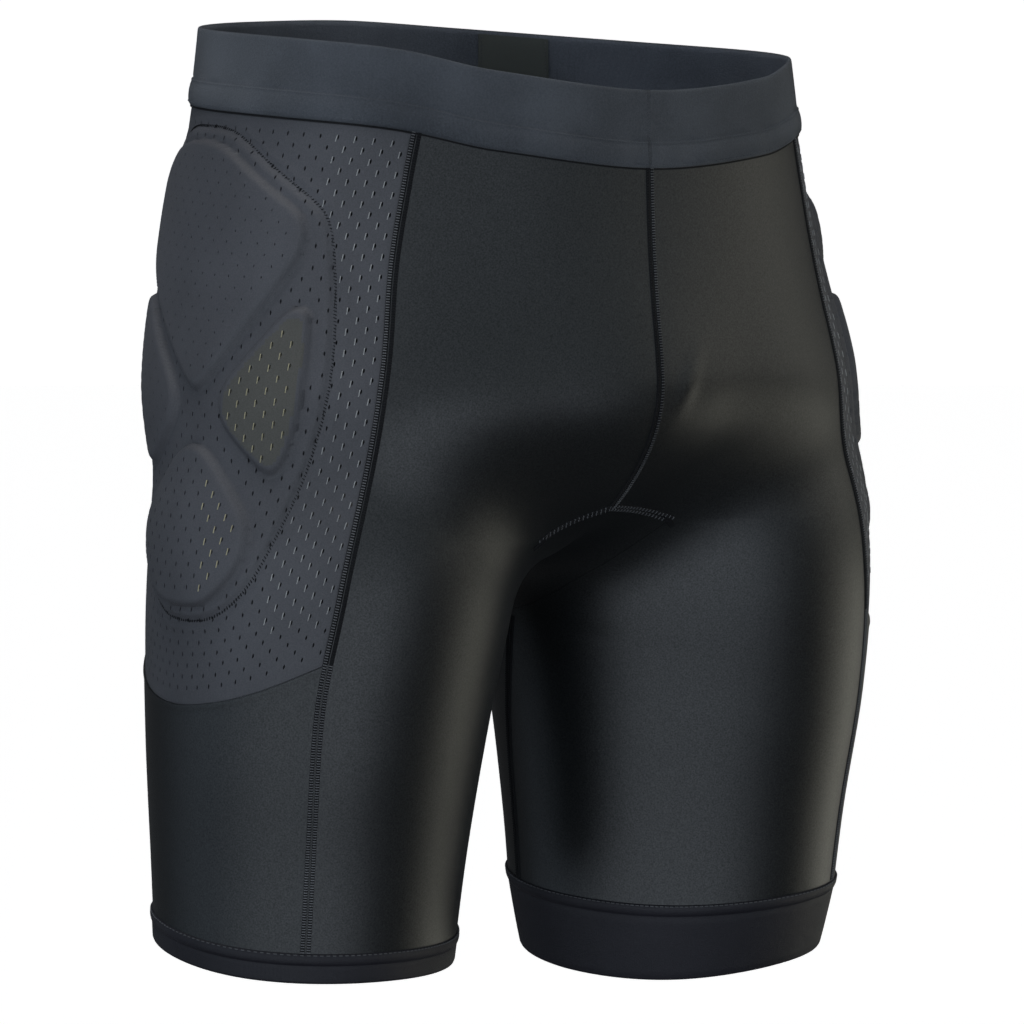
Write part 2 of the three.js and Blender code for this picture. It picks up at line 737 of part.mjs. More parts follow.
function label() {
  const grid = [];
  for (let j = 0; j <= 2; j += 1) {
    const cells = [];
    for (let i = 0; i <= 4; i += 1) {
      const turn = LABEL.turn + LABEL.width * (i / 4 - 0.5);
      const p = waistPoint(turn, 0);
      cells.push(lay(waistPoint(turn, waistTop(p.x, p.y) - LABEL.drop - (LABEL.height * j) / 2)));
    }
    grid.push(cells);
  }
  const outer = -LAYER_GAP - 0.2;
  return wall("size_label", grid, COLOURS.label, () => outer - LABEL.thick, () => outer);
}

// The assembly
const shorts = new THREE.Group();
shorts.name = "padded_shorts";
shorts.add(waistband());
shorts.add(label());
shorts.add(wall("crotch_gusset", gussetGrid(), COLOURS.smooth, () => 0, () => CLOTH));
for (const [word, side] of [["right", -1], ["left", 1]]) {
  const front = panelGrid(side, panelRows(side, false), 8);
  shorts.add(wall(`front_panel_${word}`, front, COLOURS.smooth, () => 0, () => CLOTH));
  const back = panelGrid(side, panelRows(side, true), 7);
  shorts.add(wall(`back_panel_${word}`, back, COLOURS.smooth, () => 0, () => CLOTH));
  const { cells, triangles, padTriangles, bottomAngles } = sidePattern(side, PAD_DROP[word]);
  const under = (cell) => (cell.pad > 0 ? cell.pad + LAYER_GAP : 0);
  const over = (cell) => under(cell) + MESH_CLOTH;
  shorts.add(triangleWall(`side_mesh_${word}`, cells, triangles, COLOURS.mesh, under, over));
  shorts.add(triangleWall(`hip_pad_${word}`, cells, padTriangles, COLOURS.foam, () => 0, (cell) => cell.pad));
  const thigh = thighGrid(side, bottomAngles);
  shorts.add(wall(`thigh_panel_${word}`, thigh, COLOURS.smooth, () => 0, (j) => (j === 0 ? CLOTH + 0.8 : CLOTH)));
  shorts.add(legBand(`leg_band_${word}`, side, LEG_BAND_HEIGHT[word], LEG_BAND_TAPER[word], LEG_BAND_SLANT[word]));
}

export default shorts;
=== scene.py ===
"""Padded protective shorts in worn shape: knit panels, slit mesh over foam pads, elastic bands and seams."""

import bmesh
import bpy
import numpy as np
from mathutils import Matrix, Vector


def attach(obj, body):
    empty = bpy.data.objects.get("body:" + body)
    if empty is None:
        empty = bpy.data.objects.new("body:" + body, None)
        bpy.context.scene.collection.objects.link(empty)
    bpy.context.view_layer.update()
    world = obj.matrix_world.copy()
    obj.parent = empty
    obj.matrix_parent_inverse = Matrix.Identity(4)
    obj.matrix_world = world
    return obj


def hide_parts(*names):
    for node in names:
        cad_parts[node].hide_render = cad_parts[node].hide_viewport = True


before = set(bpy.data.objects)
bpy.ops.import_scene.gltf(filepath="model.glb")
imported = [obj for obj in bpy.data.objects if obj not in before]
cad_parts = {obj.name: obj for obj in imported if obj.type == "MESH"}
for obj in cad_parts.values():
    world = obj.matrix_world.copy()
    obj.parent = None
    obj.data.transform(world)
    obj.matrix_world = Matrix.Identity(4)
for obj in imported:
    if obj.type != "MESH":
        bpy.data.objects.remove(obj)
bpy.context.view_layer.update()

# Driving sizes in millimetres; the tilt and the slants are shares
CLOTH = 1.5
MESH_CLOTH = 0.7
LAYER_GAP = 0.15
SKIN_GAP = 0.1
SEAM_PULL = 0.06
TUCK = 0.5
BAND_HEIGHT = 36.5
WAIST_TILT = 0.045
LEG_BAND_HEIGHT = {"right": 14.5, "left": 37.0}
LEG_BAND_TAPER = {"right": 0.0, "left": 3.5}
LEG_BAND_SLANT = {"right": 0.0, "left": 0.08}
PAD_DROP = {"right": 0.0, "left": 8.0}
SIDES = (("right", -1), ("left", 1))

# A millimetre in metres, and in the centimetres of the flat layouts
MM = 0.001
MM_FLAT = 0.1

# The worn body: trunk sections, thigh sections and the axis that angles are measured round
TRUNK = {
    "z": (-260, -200, -160, -120, -80, -40, 0, 30),
    "half": (173, 175, 173, 168, 162, 154, 147, 145),
    "front": (115, 117, 116, 113, 111, 110, 110, 109),
    "back": (132, 136, 134, 125, 119, 117, 116, 116),
}
TRUNK_SQUARENESS = 2.25
TRUNK_BOTTOM = {"from": -155.0, "deep": 92.0}
THIGH = {
    "z": (-475, -440, -380, -320, -260, -210, -150, -80, 0),
    "x": (114, 114, 113, 111, 105, 98, 86, 70, 60),
    "y": (6, 5, 2, -2, -4, -4, -3, -2, 0),
    "long": (72, 77, 83, 91, 98, 100, 90, 70, 60),
    "short": (64, 68, 73, 79, 85, 86, 80, 66, 56),
}
THIGH_TURN = np.radians(42)
CROTCH_BLEND = 34.0
CROTCH_RANGE = (-180.0, -290.0)
HALF_AXIS = {"z": (-440, -240, -120, 0), "x": (110, 95, 70, 55)}
FARTHEST = 280.0
HALVINGS = 30

# Soft forms of the cloth at the front: a full middle, a drawn-in groin and one slanted fold
FULL_FRONT = {"high": 3.5, "wide": 40, "z": -165, "tall": 50}
GROIN = {"deep": 3.2, "z": -204, "tall": 34, "y": (-15, -60)}
FOLD = {"high": 1.2, "x": 19, "z": -157, "slant": (0.9, 0.45), "wide": 5, "long": 15}

# Edges and seams
WAIST_EDGE = {
    "turn": (-40, 0, 40, 58, 75, 110, 150, 180, 210),
    "z": (-14, -21, -14, -6, -3, 0, 4, 6, 4),
}
LEG_EDGE = {
    "angle": (-230, -180, -130, -90, -30, 30, 75, 130, 180, 230),
    "z": (-419, -416, -410, -406, -406, -414, -417, -419, -416, -410),
}
FRONT_SEAM = {
    "z": (-425, -360, -300, -250, -200, -150, -100, -60, -30),
    "angle": (47.5, 48.5, 49.5, 53, 55.5, 55, 53.5, 55, 57),
}
REAR_SEAM = {
    "z": (-425, -320, -260, -210, -160, -110, -60, -20),
    "angle": (-47, -48, -51, -54, -61, -67, -68, -66),
}
MESH_BOTTOM = {
    "angle": (-50, -35, -15, 4, 20, 34, 52),
    "z": (-280, -288, -298, -302, -299, -292, -278),
}
INSEAM = {"z": (-425, -340, -275), "angle": (206, 200, 185)}
GUSSET_MIDDLE = {"front": -85.0, "back": 80.0}
GUSSET_EDGE = {
    "along": (0, 0.25, 0.5, 0.75, 1),
    "right_angle": (129, 153, 185, 208, 228),
    "right_z": (-233, -256, -275, -256, -236),
    "left_angle": (123, 150, 185, 208, 228),
    "left_z": (-227, -253, -275, -256, -236),
}

# First guesses of the heights where panels meet the bands
NEAR_WAIST = -40.0
NEAR_HEM = {"side": -416.0, "inner": -418.0}

# Hip pad: its leaning middle, and the corners of its outline and lobes as across and height
PAD_MIDDLE = {"z": (-262, -170, -100, -40), "angle": (9.5, 6.6, -4.6, -13.8)}
PAD_MM_PER_DEGREE = 1.7
PAD_CENTRE = -152.0
PAD_REACH = 160.0
PAD_OUTLINE = (
    (-24, -39), (24, -39), (74, -75), (75, -96), (51, -208), (34, -248), (16, -262),
    (-16, -262), (-34, -248), (-51, -208), (-75, -96), (-74, -75),
)
LOBES = (
    ((-20, -45), (20, -45), (66, -78), (64, -92), (0, -162), (-64, -92), (-66, -78)),
    ((54, -115), (62, -117), (45, -195), (41, -199), (12, -170), (12, -158)),
    ((-12, -158), (-12, -170), (-41, -199), (-45, -195), (-62, -117), (-54, -115)),
    ((7, -181), (36, -217), (34, -235), (16, -256), (-16, -256), (-34, -235), (-36, -217), (-7, -181)),
)
UPPER_LOBE, FRONT_LOBE, REAR_LOBE, LOWER_LOBE = LOBES
CORNER_ROUND = 3.5

# Relief of the pad; a ridge is a height, the place of its middle and its width
PAD_WEB = 2.4
WEB_EDGE = (3.5, -2.5)
EDGE_GROOVE = (1.0, 0.3, 1.5)
EDGE_SWELL = (0.6, 4.6, 2.0)
LOBE_CREASE = (0.4, 0.4, 0.9)
CREASE_INSET = 3
PAD_LOBE = 3.6
LOBE_TOP = 2.8
LOBE_SHOULDER = 2.4
LOBE_CROWN = 0.6
CROWN_RUN = 12
FOAM_INSET = 1.2
FOAM_UNDER_MESH = 0.4
FOAM_LEAST = 0.5

# Slit mesh: slits across and down a side panel, grid cells of a slit, and half sizes of a slit
SLIT_COLUMNS = 24
SLIT_ROWS = 52
CELL_COLUMNS = 6
CELL_ROWS = 4
SLIT_HALF = (0.48, 1.05)
SLIT_TAPER = 0.45
SMOOTH_LOBE_SHRINK = 0.45
SMOOTH_LOBE_EDGE = (2.0, -10.0)
RIM_CLEAR = 1.2
# Painted light: inset from the front lobe's edge for its lighter foam, lighter mesh and warm glints
PAINTED_LIGHT_INSET = 3.0
# Painted glints: where the lower lobe's warm glints begin, and the strip by the front seam with bright glints
LOWER_PAINTED_GLINT_FROM = 12
PAINTED_GLINT_STRIP = {"off_pad": 3, "angle": 33, "z": -262}
FIRST_SLIT = (8, 5)
SLIT_THREAD_SHIFT = (0.75, 0.5)
SLIT_THREAD_LEAN = 0.1
MESH_ANGLES = (-76, 66)

# Stitches as length, width and height, and ribbons as profiles of across and up
STITCH = {
    "waist": (1.7, 0.6, 0.25),
    "label": (1.3, 0.4, 0.25),
    "slit": (3.3, 0.55, 0.24),
    "hem": (1.8, 0.5, 0.35),
    "seam": (1.75, 0.6, 0.36),
    "tack": (3.0, 0.45, 0.5),
    "pad": (2.6, 0.55, 0.3),
}
# Profile of the dark ribbon under the waistband strip, a painted shadow
WAIST_SHADOW_PROFILE = ((0.5, -0.9), (0.4, 0.1), (-0.4, 0.1), (-0.5, -0.9))
SEAM_BED = ((1.05, -0.4), (0.95, 0.2), (0.5, 0.42), (0, 0.46), (-0.5, 0.42), (-0.95, 0.2), (-1.05, -0.4))
SEAM_LINE = ((0.6, -0.3), (0, -0.05), (-0.6, -0.3))
PAD_LINE = ((0.9, -0.25), (0, 0.06), (-0.9, -0.25))
# Height above which the threads of a seam's shaded bed are painted dark, as painted shade
PAINTED_SHADE_ABOVE = -279


# Shape of the worn body
def column(table, key, name, at):
    """A smooth curve through one column of a table that is sorted by its key."""
    xs = np.array(table[key], float)
    ys = np.array(table[name], float)
    low = np.maximum(np.arange(len(xs)) - 1, 0)
    high = np.minimum(np.arange(len(xs)) + 1, len(xs) - 1)
    slope = (ys[high] - ys[low]) / (xs[high] - xs[low])
    t = np.clip(at, xs[0], xs[-1])
    i = np.clip(np.searchsorted(xs, t) - 1, 0, len(xs) - 2)
    span = xs[i + 1] - xs[i]
    s = (t - xs[i]) / span
    s2 = s * s
    s3 = s2 * s
    rise = (2 * s3 - 3 * s2 + 1) * ys[i] + (3 * s2 - 2 * s3) * ys[i + 1]
    return rise + span * ((s3 - 2 * s2 + s) * slope[i] + (s3 - s2) * slope[i + 1])


def smooth_step(low, high, at):
    t = np.clip((at - low) / (high - low), 0, 1)
    return t * t * (3 - 2 * t)


def ridge(at, high, middle, wide):
    return high * np.exp(-((at - middle) / wide) ** 2)


def bisect(is_inside, low, high):
    """The border between low values, which are inside, and high values, which are not."""
    for _ in range(HALVINGS):
        mid = (low + high) / 2
        inside = is_inside(mid)
        low = np.where(inside, mid, low)
        high = np.where(inside, high, mid)
    return low


def field(p):
    """How far points are outside the worn body, about in millimetres."""
    x, y, z = p[..., 0], p[..., 1], p[..., 2]
    side = np.abs(x)
    tiny = 1e-6
    half = column(TRUNK, "z", "half", z)
    reach = np.where(y < 0, column(TRUNK, "z", "front", z), column(TRUNK, "z", "back", z))
    square = TRUNK_SQUARENESS
    level = ((side / half) ** square + (np.abs(y) / reach) ** square) ** (1 / square)
    below = np.maximum(TRUNK_BOTTOM["from"] - z, 0)
    trunk_share = np.hypot(level, below / TRUNK_BOTTOM["deep"])
    trunk = np.sqrt(x * x + y * y + below * below) * (1 - 1 / np.maximum(trunk_share, tiny))
    dx = side - column(THIGH, "z", "x", z)
    dy = y - column(THIGH, "z", "y", z)
    c, s = np.cos(THIGH_TURN), np.sin(THIGH_TURN)
    thigh_share = np.hypot(
        (dx * c - dy * s) / column(THIGH, "z", "long", z),
        (dx * s + dy * c) / column(THIGH, "z", "short", z),
    )
    thigh = np.hypot(dx, dy) * (1 - 1 / np.maximum(thigh_share, tiny))
    near = np.maximum(CROTCH_BLEND - np.abs(trunk - thigh), 0) / CROTCH_BLEND
    return np.minimum(trunk, thigh) - near * near * CROTCH_BLEND / 4


def body_normal(p):
    reach = 0.5
    steps = np.eye(3) * reach
    n = np.stack([field(p + d) - field(p - d) for d in steps], -1)
    return n / np.linalg.norm(n, axis=-1, keepdims=True)


def points(x, y, z):
    return np.stack(np.broadcast_arrays(np.asarray(x, float), y, z), -1)


def cast_level(start_x, dir_x, dir_y, z, step=4.0):
    """The body's surface along level lines that start inside it."""
    start_x, dir_x, dir_y, z = np.broadcast_arrays(np.asarray(start_x, float), dir_x, dir_y, z)

    def is_inside(far):
        return field(points(start_x + dir_x * far, dir_y * far, z)) < 0

    far = np.zeros(z.shape)
    for _ in range(int(FARTHEST / step)):
        inside = is_inside(far)
        if not inside.any():
            break
        far = far + step * inside
    far = bisect(is_inside, far - step, far)
    return points(start_x + dir_x * far, dir_y * far, z)


def half_point(side, angle, z, step=4.0):
    """The body's surface at an angle round one half's axis: 0 outward, 90 to the front."""
    turn = np.radians(angle)
    return cast_level(side * column(HALF_AXIS, "z", "x", z), side * np.cos(turn), -np.sin(turn), z, step)


def half_angle(side, p, behind):
    out = side * p[..., 0] - column(HALF_AXIS, "z", "x", p[..., 2])
    angle = np.degrees(np.arctan2(-p[..., 1], out))
    if behind:
        return np.where(angle > 0, angle - 360, angle)
    return np.where(angle < 0, angle + 360, angle)


def waist_point(turn, z):
    turn = np.radians(turn)
    return cast_level(0.0, np.sin(turn), -np.cos(turn), z)


def waist_top(p):
    """Height of the waistband's top edge over a point."""
    turn = np.degrees(np.arctan2(np.abs(p[..., 0]), -p[..., 1]))
    return column(WAIST_EDGE, "turn", "z", turn) - WAIST_TILT * p[..., 0]


def under_waist(side, angle):
    """Heights of the panels' top edge, tucked under the waistband, at these angles of a half."""
    z = np.full(np.shape(angle), NEAR_WAIST)
    for _ in range(8):
        z = waist_top(half_point(side, angle, z)) - BAND_HEIGHT + TUCK
    return z


def leg_top(angle):
    angle = np.asarray(angle, float)
    return column(LEG_EDGE, "angle", "z", angle - 360 * np.round(angle / 360))


def seam_ends(side, table):
    """Heights of a side seam's ends: tucked under the waistband, and at the leg band's top edge."""
    top = NEAR_WAIST
    for _ in range(3):
        top = under_waist(side, column(table, "z", "angle", np.array([top])))[0]
    return top, leg_top(column(table, "z", "angle", np.array([NEAR_HEM["side"]])))[0]


def onto_body(p):
    for _ in range(12):
        p = p - 0.9 * body_normal(p) * field(p)[..., None]
    return p


def under_body(x, y):
    """The body's underside between the legs."""
    def is_inside(z):
        return field(points(x, y, z)) < 0

    low, high = (np.full(np.shape(y), end) for end in CROTCH_RANGE)
    return points(x, y, bisect(is_inside, low, high))


def lay(p):
    """Points of the body with the cloth's soft forms added, and the body's normals there."""
    n = body_normal(p)
    x, y, z = p[..., 0], p[..., 1], p[..., 2]
    spread = (np.abs(x) / FULL_FRONT["wide"]) ** 2 + ((z - FULL_FRONT["z"]) / FULL_FRONT["tall"]) ** 2
    full = FULL_FRONT["high"] * np.exp(-spread) * (y < 0)
    drawn = ridge(z, GROIN["deep"], GROIN["z"], GROIN["tall"]) * smooth_step(*GROIN["y"], y)
    c, s = FOLD["slant"]
    across = c * (x - FOLD["x"]) - s * (z - FOLD["z"])
    along = s * (x - FOLD["x"]) + c * (z - FOLD["z"])
    fold = ridge(across, FOLD["high"], 0, FOLD["wide"]) * ridge(along, 1, 0, FOLD["long"]) * (y < 0)
    return p + n * (full - drawn + fold)[..., None], n


# Pad relief
def shape_reach(corners, x, z):
    """How far points are outside a shape whose straight sides run into each other in round corners."""
    steepest = 60
    total = 0
    for (ax, az), (bx, bz) in zip(corners, corners[1:] + corners[:1]):
        out = ((x - ax) * (az - bz) + (z - az) * (bx - ax)) / np.hypot(bx - ax, bz - az)
        total = total + np.exp(np.clip(out / CORNER_ROUND, -steepest, steepest))
    return CORNER_ROUND * np.log(total)


def pad_height(across, z):
    """Height of the pad's outside: a web with four flat-topped lobes, sewn down along its outline."""
    outline = shape_reach(PAD_OUTLINE, across, z)
    lobe = np.min([shape_reach(corners, across, z) for corners in LOBES], axis=0)
    deep = np.maximum(-lobe, 0)
    shoulder = 1 - (1 - np.clip(deep / LOBE_TOP, 0, 1)) ** LOBE_SHOULDER
    crown = LOBE_CROWN * (1 - np.exp(-deep / CROWN_RUN))
    web = PAD_WEB * smooth_step(*WEB_EDGE, outline)
    groove = ridge(outline, *EDGE_GROOVE)
    swell = ridge(outline, *EDGE_SWELL)
    crease = ridge(lobe, *LOBE_CREASE) * (outline < -CREASE_INSET)
    return np.maximum(web - groove + swell - crease + PAD_LOBE * shoulder + crown, 0)


def pad_ring(turn, out):
    """Across and rise, from the pad's centre, of points that lie a given way outside its outline."""
    def is_inside(far):
        return shape_reach(PAD_OUTLINE, far * np.cos(turn), PAD_CENTRE + far * np.sin(turn)) < out

    far = bisect(is_inside, np.zeros(turn.shape), np.full(turn.shape, PAD_REACH))
    return far * np.cos(turn), far * np.sin(turn)


def pad_angle(across, z):
    return column(PAD_MIDDLE, "z", "angle", z) + across / PAD_MM_PER_DEGREE


def over_pad(angle, z, drop):
    """Across and height on the pad of points that are given by angle and height on the body."""
    high = z + drop
    across = (angle - column(PAD_MIDDLE, "z", "angle", high)) * PAD_MM_PER_DEGREE
    return across, high


def front_lobe_painted_light(across, z):
    """Where the front lobe's foam and the mesh over it get lighter, warm colours: painted light."""
    return shape_reach(FRONT_LOBE, across, z) < -PAINTED_LIGHT_INSET


def painted_warm_glints(across, z):
    """Where the bright stitches beside the slits are warm: painted warm glints on the front lobe and the
    front of the lower one.
    """
    lower = shape_reach(LOWER_LOBE, across, z) < -PAINTED_LIGHT_INSET
    return front_lobe_painted_light(across, z) | (lower & (across > LOWER_PAINTED_GLINT_FROM))


# Mesh building
def add_object(name, data):
    thing = bpy.data.objects.new(name, data)
    bpy.context.scene.collection.objects.link(thing)
    return thing


def face_outward(mesh):
    work = bmesh.new()
    work.from_mesh(mesh)
    bmesh.ops.recalc_face_normals(work, faces=work.faces[:])
    work.to_mesh(mesh)
    work.free()


class Builder:
    """Collects points and faces in millimetres and makes one object of them, turned outward."""

    def __init__(self):
        self.points, self.faces, self.looks, self.flats = [], [], [], []
        self.count = 0

    def add(self, p, faces, look=0, flat=None):
        p = np.asarray(p, float).reshape(-1, 3)
        self.points.append(p)
        faces = faces if isinstance(faces, list) else [faces]
        looks = look if isinstance(look, tuple) else (look,) * len(faces)
        for block, one in zip(faces, looks):
            block = np.asarray(block, int) + self.count
            self.faces.extend(block.tolist())
            self.looks.append(np.full(len(block), one))
        self.flats.append(np.zeros((len(p), 2)) if flat is None else np.asarray(flat, float).reshape(-1, 2))
        self.count += len(p)

    def finish(self, name, materials, sharp=50):
        mesh = bpy.data.meshes.new(name)
        mesh.from_pydata((np.concatenate(self.points) * MM).tolist(), [], self.faces)
        face_outward(mesh)
        for material in materials:
            mesh.materials.append(material)
        mesh.polygons.foreach_set("material_index", np.concatenate(self.looks).astype(np.int32))
        corner = np.zeros(len(mesh.loops), np.int32)
        mesh.loops.foreach_get("vertex_index", corner)
        layer = mesh.uv_layers.new(name="flat")
        layer.data.foreach_set("uv", np.concatenate(self.flats)[corner].astype(np.float32).ravel())
        mesh.update()
        mesh.polygons.foreach_set("use_smooth", np.ones(len(mesh.polygons), bool))
        mesh.set_sharp_from_angle(angle=np.radians(sharp))
        mesh.validate()
        return add_object(name, mesh)


def grid_faces(rows, cols, start=0, loop=False):
    j, i = np.meshgrid(np.arange(rows - 1), np.arange(cols if loop else cols - 1), indexing="ij")
    k = (i + 1) % cols
    a, b = j * cols + i, (j + 1) * cols + i
    c, d = (j + 1) * cols + k, j * cols + k
    return np.stack([a, b, c, d], -1).reshape(-1, 4) + start


def tube_faces(rings):
    """Faces of a ring of profiles that closes both ways."""
    size, count = rings.shape[:2]
    return grid_faces(size + 1, count, loop=True) % (size * count)


def both_sides(outer, inner, flat):
    """Points of two layers in one list, with the same flat places."""
    layers = np.concatenate([outer.reshape(-1, 3), inner.reshape(-1, 3)])
    return layers, np.concatenate([flat.reshape(-1, 2)] * 2)


def wall(build, outer, inner, flat):
    """A closed wall between two grids of points."""
    rows, cols = outer.shape[:2]
    count = rows * cols
    edge = np.concatenate([
        np.arange(cols),
        np.arange(1, rows) * cols + cols - 1,
        (rows - 1) * cols + np.arange(cols - 2, -1, -1),
        np.arange(rows - 2, 0, -1) * cols,
    ])
    following = np.roll(edge, -1)
    rim = np.stack([edge, following, following + count, edge + count], -1)
    layers, flats = both_sides(outer, inner, flat)
    build.add(layers, [grid_faces(rows, cols), grid_faces(rows, cols, count), rim], 0, flats)


def flat_grid(p):
    """Where the points of a grid lie when it is laid flat, in centimetres."""
    across = np.linalg.norm(np.diff(p, axis=1), axis=-1).mean(axis=0)
    down = np.linalg.norm(np.diff(p, axis=0), axis=-1).mean(axis=1)
    x = np.concatenate([[0], np.cumsum(across)])
    y = np.concatenate([[0], np.cumsum(down)])
    return np.stack(np.meshgrid(x, -y), -1) * MM_FLAT


def soft_wall(name, p, n, look, lift=0.0):
    build = Builder()
    out = CLOTH + np.broadcast_to(lift, p.shape[:2])
    wall(build, p + n * out[..., None], p + n * SKIN_GAP, flat_grid(p))
    return build.finish(name, [look])


def along_path(p, spacing):
    """A path of points taken again at even steps."""
    run = np.concatenate([[0], np.cumsum(np.linalg.norm(np.diff(p, axis=0), axis=1))])
    at = np.linspace(0, run[-1], max(int(round(run[-1] / spacing)), 2) + 1)
    return np.stack([np.interp(at, run, p[:, k]) for k in range(3)], -1)


def path_frame(p, n, closed=False):
    """Directions along and across a path on the cloth."""
    if closed:
        t = np.roll(p, -1, axis=0) - np.roll(p, 1, axis=0)
    else:
        t = np.gradient(p, axis=0)
    t = t / np.linalg.norm(t, axis=1, keepdims=True)
    b = np.cross(n, t)
    return t, b / np.linalg.norm(b, axis=1, keepdims=True)


def add_stitches(build, middle, along, across, up, size, look):
    """Short thread bumps that lie along one direction on the cloth."""
    long, wide, high = size
    shape = np.array([
        (-1, -1, -0.25), (1, -1, -0.25), (1, 1, -0.25), (-1, 1, -0.25),
        (-0.8, -0.5, 1), (0.8, -0.5, 1), (0.8, 0.5, 1), (-0.8, 0.5, 1),
    ])
    p = (
        middle[:, None]
        + along[:, None] * (shape[None, :, :1] * long / 2)
        + across[:, None] * (shape[None, :, 1:2] * wide / 2)
        + up[:, None] * (shape[None, :, 2:] * high)
    )
    one = np.array([(4, 5, 6, 7), (0, 1, 5, 4), (1, 2, 6, 5), (2, 3, 7, 6), (3, 0, 4, 7), (3, 2, 1, 0)])
    faces = (one[None] + len(shape) * np.arange(len(middle))[:, None, None]).reshape(-1, 4)
    build.add(p, faces, look)


def add_ribbon(build, p, n, b, profile, look, closed=False):
    """A low closed ribbon along a path, from a profile of across and up that runs round it."""
    profile = np.array(profile)
    rows = p[:, None] + b[:, None] * profile[None, :, :1] + n[:, None] * profile[None, :, 1:]
    count, size = rows.shape[:2]
    faces = [tube_faces(rows) if closed else grid_faces(count, size, loop=True)]
    if not closed:
        faces += [np.arange(size)[None], (count - 1) * size + np.arange(size)[None]]
    build.add(rows, faces, look)


# Materials
def set_inputs(node, **values):
    for key, value in values.items():
        node.inputs[key.replace("_", " ")].default_value = value


def add_node(tree, kind, **values):
    node = tree.nodes.new(kind)
    set_inputs(node, **values)
    return node


def multiply_add(tree, source, factor, plus):
    """A node that scales one output and adds another output, or a number, to it."""
    node = add_node(tree, "ShaderNodeMath")
    node.operation = "MULTIPLY_ADD"
    tree.links.new(source, node.inputs[0])
    node.inputs[1].default_value = factor
    if isinstance(plus, float):
        node.inputs[2].default_value = plus
    else:
        tree.links.new(plus, node.inputs[2])
    return node.outputs[0]


def cloth(name, dark, light, rough, sheen, specular, ribs, grain, depth, glint=0.0):
    """Knit cloth: fine ribs down the piece, a finer grain over them, and a slow change of shade."""
    rib_share, grain_share = 0.7, 0.45
    material = bpy.data.materials.new(name)
    material.use_nodes = True
    tree = material.node_tree
    shader = tree.nodes["Principled BSDF"]
    coordinates = add_node(tree, "ShaderNodeTexCoord")
    slow = add_node(tree, "ShaderNodeTexNoise", Scale=14.0, Detail=3.0)
    fine = add_node(tree, "ShaderNodeTexNoise", Scale=grain, Detail=2.0)
    rib = add_node(tree, "ShaderNodeTexWave", Scale=ribs, Distortion=0.6, Detail=1.0)
    tree.links.new(coordinates.outputs["Object"], slow.inputs["Vector"])
    tree.links.new(coordinates.outputs["Object"], fine.inputs["Vector"])
    tree.links.new(coordinates.outputs["UV"], rib.inputs["Vector"])
    height = multiply_add(tree, rib.outputs["Fac"], rib_share, fine.outputs["Fac"])
    shade = multiply_add(tree, fine.outputs["Fac"], grain_share, slow.outputs["Fac"])
    ramp = add_node(tree, "ShaderNodeValToRGB")
    for stop, position, colour in zip(ramp.color_ramp.elements, (0.5, 0.95), (dark, light)):
        stop.position = position
        stop.color = (*colour, 1)
    tree.links.new(shade, ramp.inputs["Fac"])
    tree.links.new(ramp.outputs["Color"], shader.inputs["Base Color"])
    bump = add_node(tree, "ShaderNodeBump", Strength=depth, Distance=0.0004)
    tree.links.new(height, bump.inputs["Height"])
    tree.links.new(bump.outputs["Normal"], shader.inputs["Normal"])
    set_inputs(shader, Roughness=rough, Specular_IOR_Level=specular, Sheen_Weight=sheen, Sheen_Roughness=0.35)
    if glint:
        gloss = multiply_add(tree, fine.outputs["Fac"], specular * glint, specular * (1 - glint / 2))
        tree.links.new(gloss, shader.inputs["Specular IOR Level"])
    return material


SATIN = {
    "rough": 0.37, "sheen": 0.02, "specular": 0.5, "ribs": 9.0, "grain": 1300.0, "depth": 0.10, "glint": 1.3,
}
SOFT_SATIN = SATIN | {"rough": 0.41, "specular": 0.48, "depth": 0.12}
OPEN_KNIT = {
    "rough": 0.62, "sheen": 0.03, "specular": 0.45, "ribs": 7.0, "grain": 1500.0, "depth": 0.25, "glint": 0.8,
}
# Weave of the light stitches beside the slits, which stand for painted glints
PAINTED_GLINT_YARN = {"rough": 0.6, "sheen": 0.1, "specular": 0.3, "ribs": 7.0, "grain": 2200.0, "depth": 0.2}
RIBBED = {"rough": 0.75, "sheen": 0.08, "specular": 0.3, "ribs": 5.5, "grain": 1200.0, "depth": 0.8}
TIGHT_RIBBED = {"rough": 0.5, "sheen": 0.03, "specular": 0.26, "ribs": 6.0, "grain": 1400.0, "depth": 0.35}
SPONGE = {"rough": 0.85, "sheen": 0.1, "specular": 0.2, "ribs": 2.0, "grain": 900.0, "depth": 0.5}
WOVEN = {"rough": 0.6, "sheen": 0.05, "specular": 0.3, "ribs": 12.0, "grain": 2400.0, "depth": 0.4}
SPUN = {"rough": 0.6, "sheen": 0.1, "specular": 0.35, "ribs": 8.0, "grain": 3000.0, "depth": 0.5}
MATT_SPUN = SPUN | {"rough": 0.7, "sheen": 0.02, "specular": 0.15}

KNIT = cloth("smooth_knit", (0.0026, 0.0032, 0.0036), (0.0045, 0.0054, 0.0060), **SATIN)
THIGH_KNIT = cloth("thigh_knit", (0.0034, 0.0044, 0.0050), (0.0060, 0.0075, 0.0084), **SOFT_SATIN)
MESH = cloth("mesh_knit", (0.039, 0.039, 0.044), (0.060, 0.060, 0.067), **OPEN_KNIT)
# Painted warm light: a lighter, olive copy of the mesh for the faces over the front lobe
MESH_PAINTED_WARM_LIGHT = cloth("mesh_painted_warm_light", (0.042, 0.041, 0.035), (0.062, 0.059, 0.050), **OPEN_KNIT)
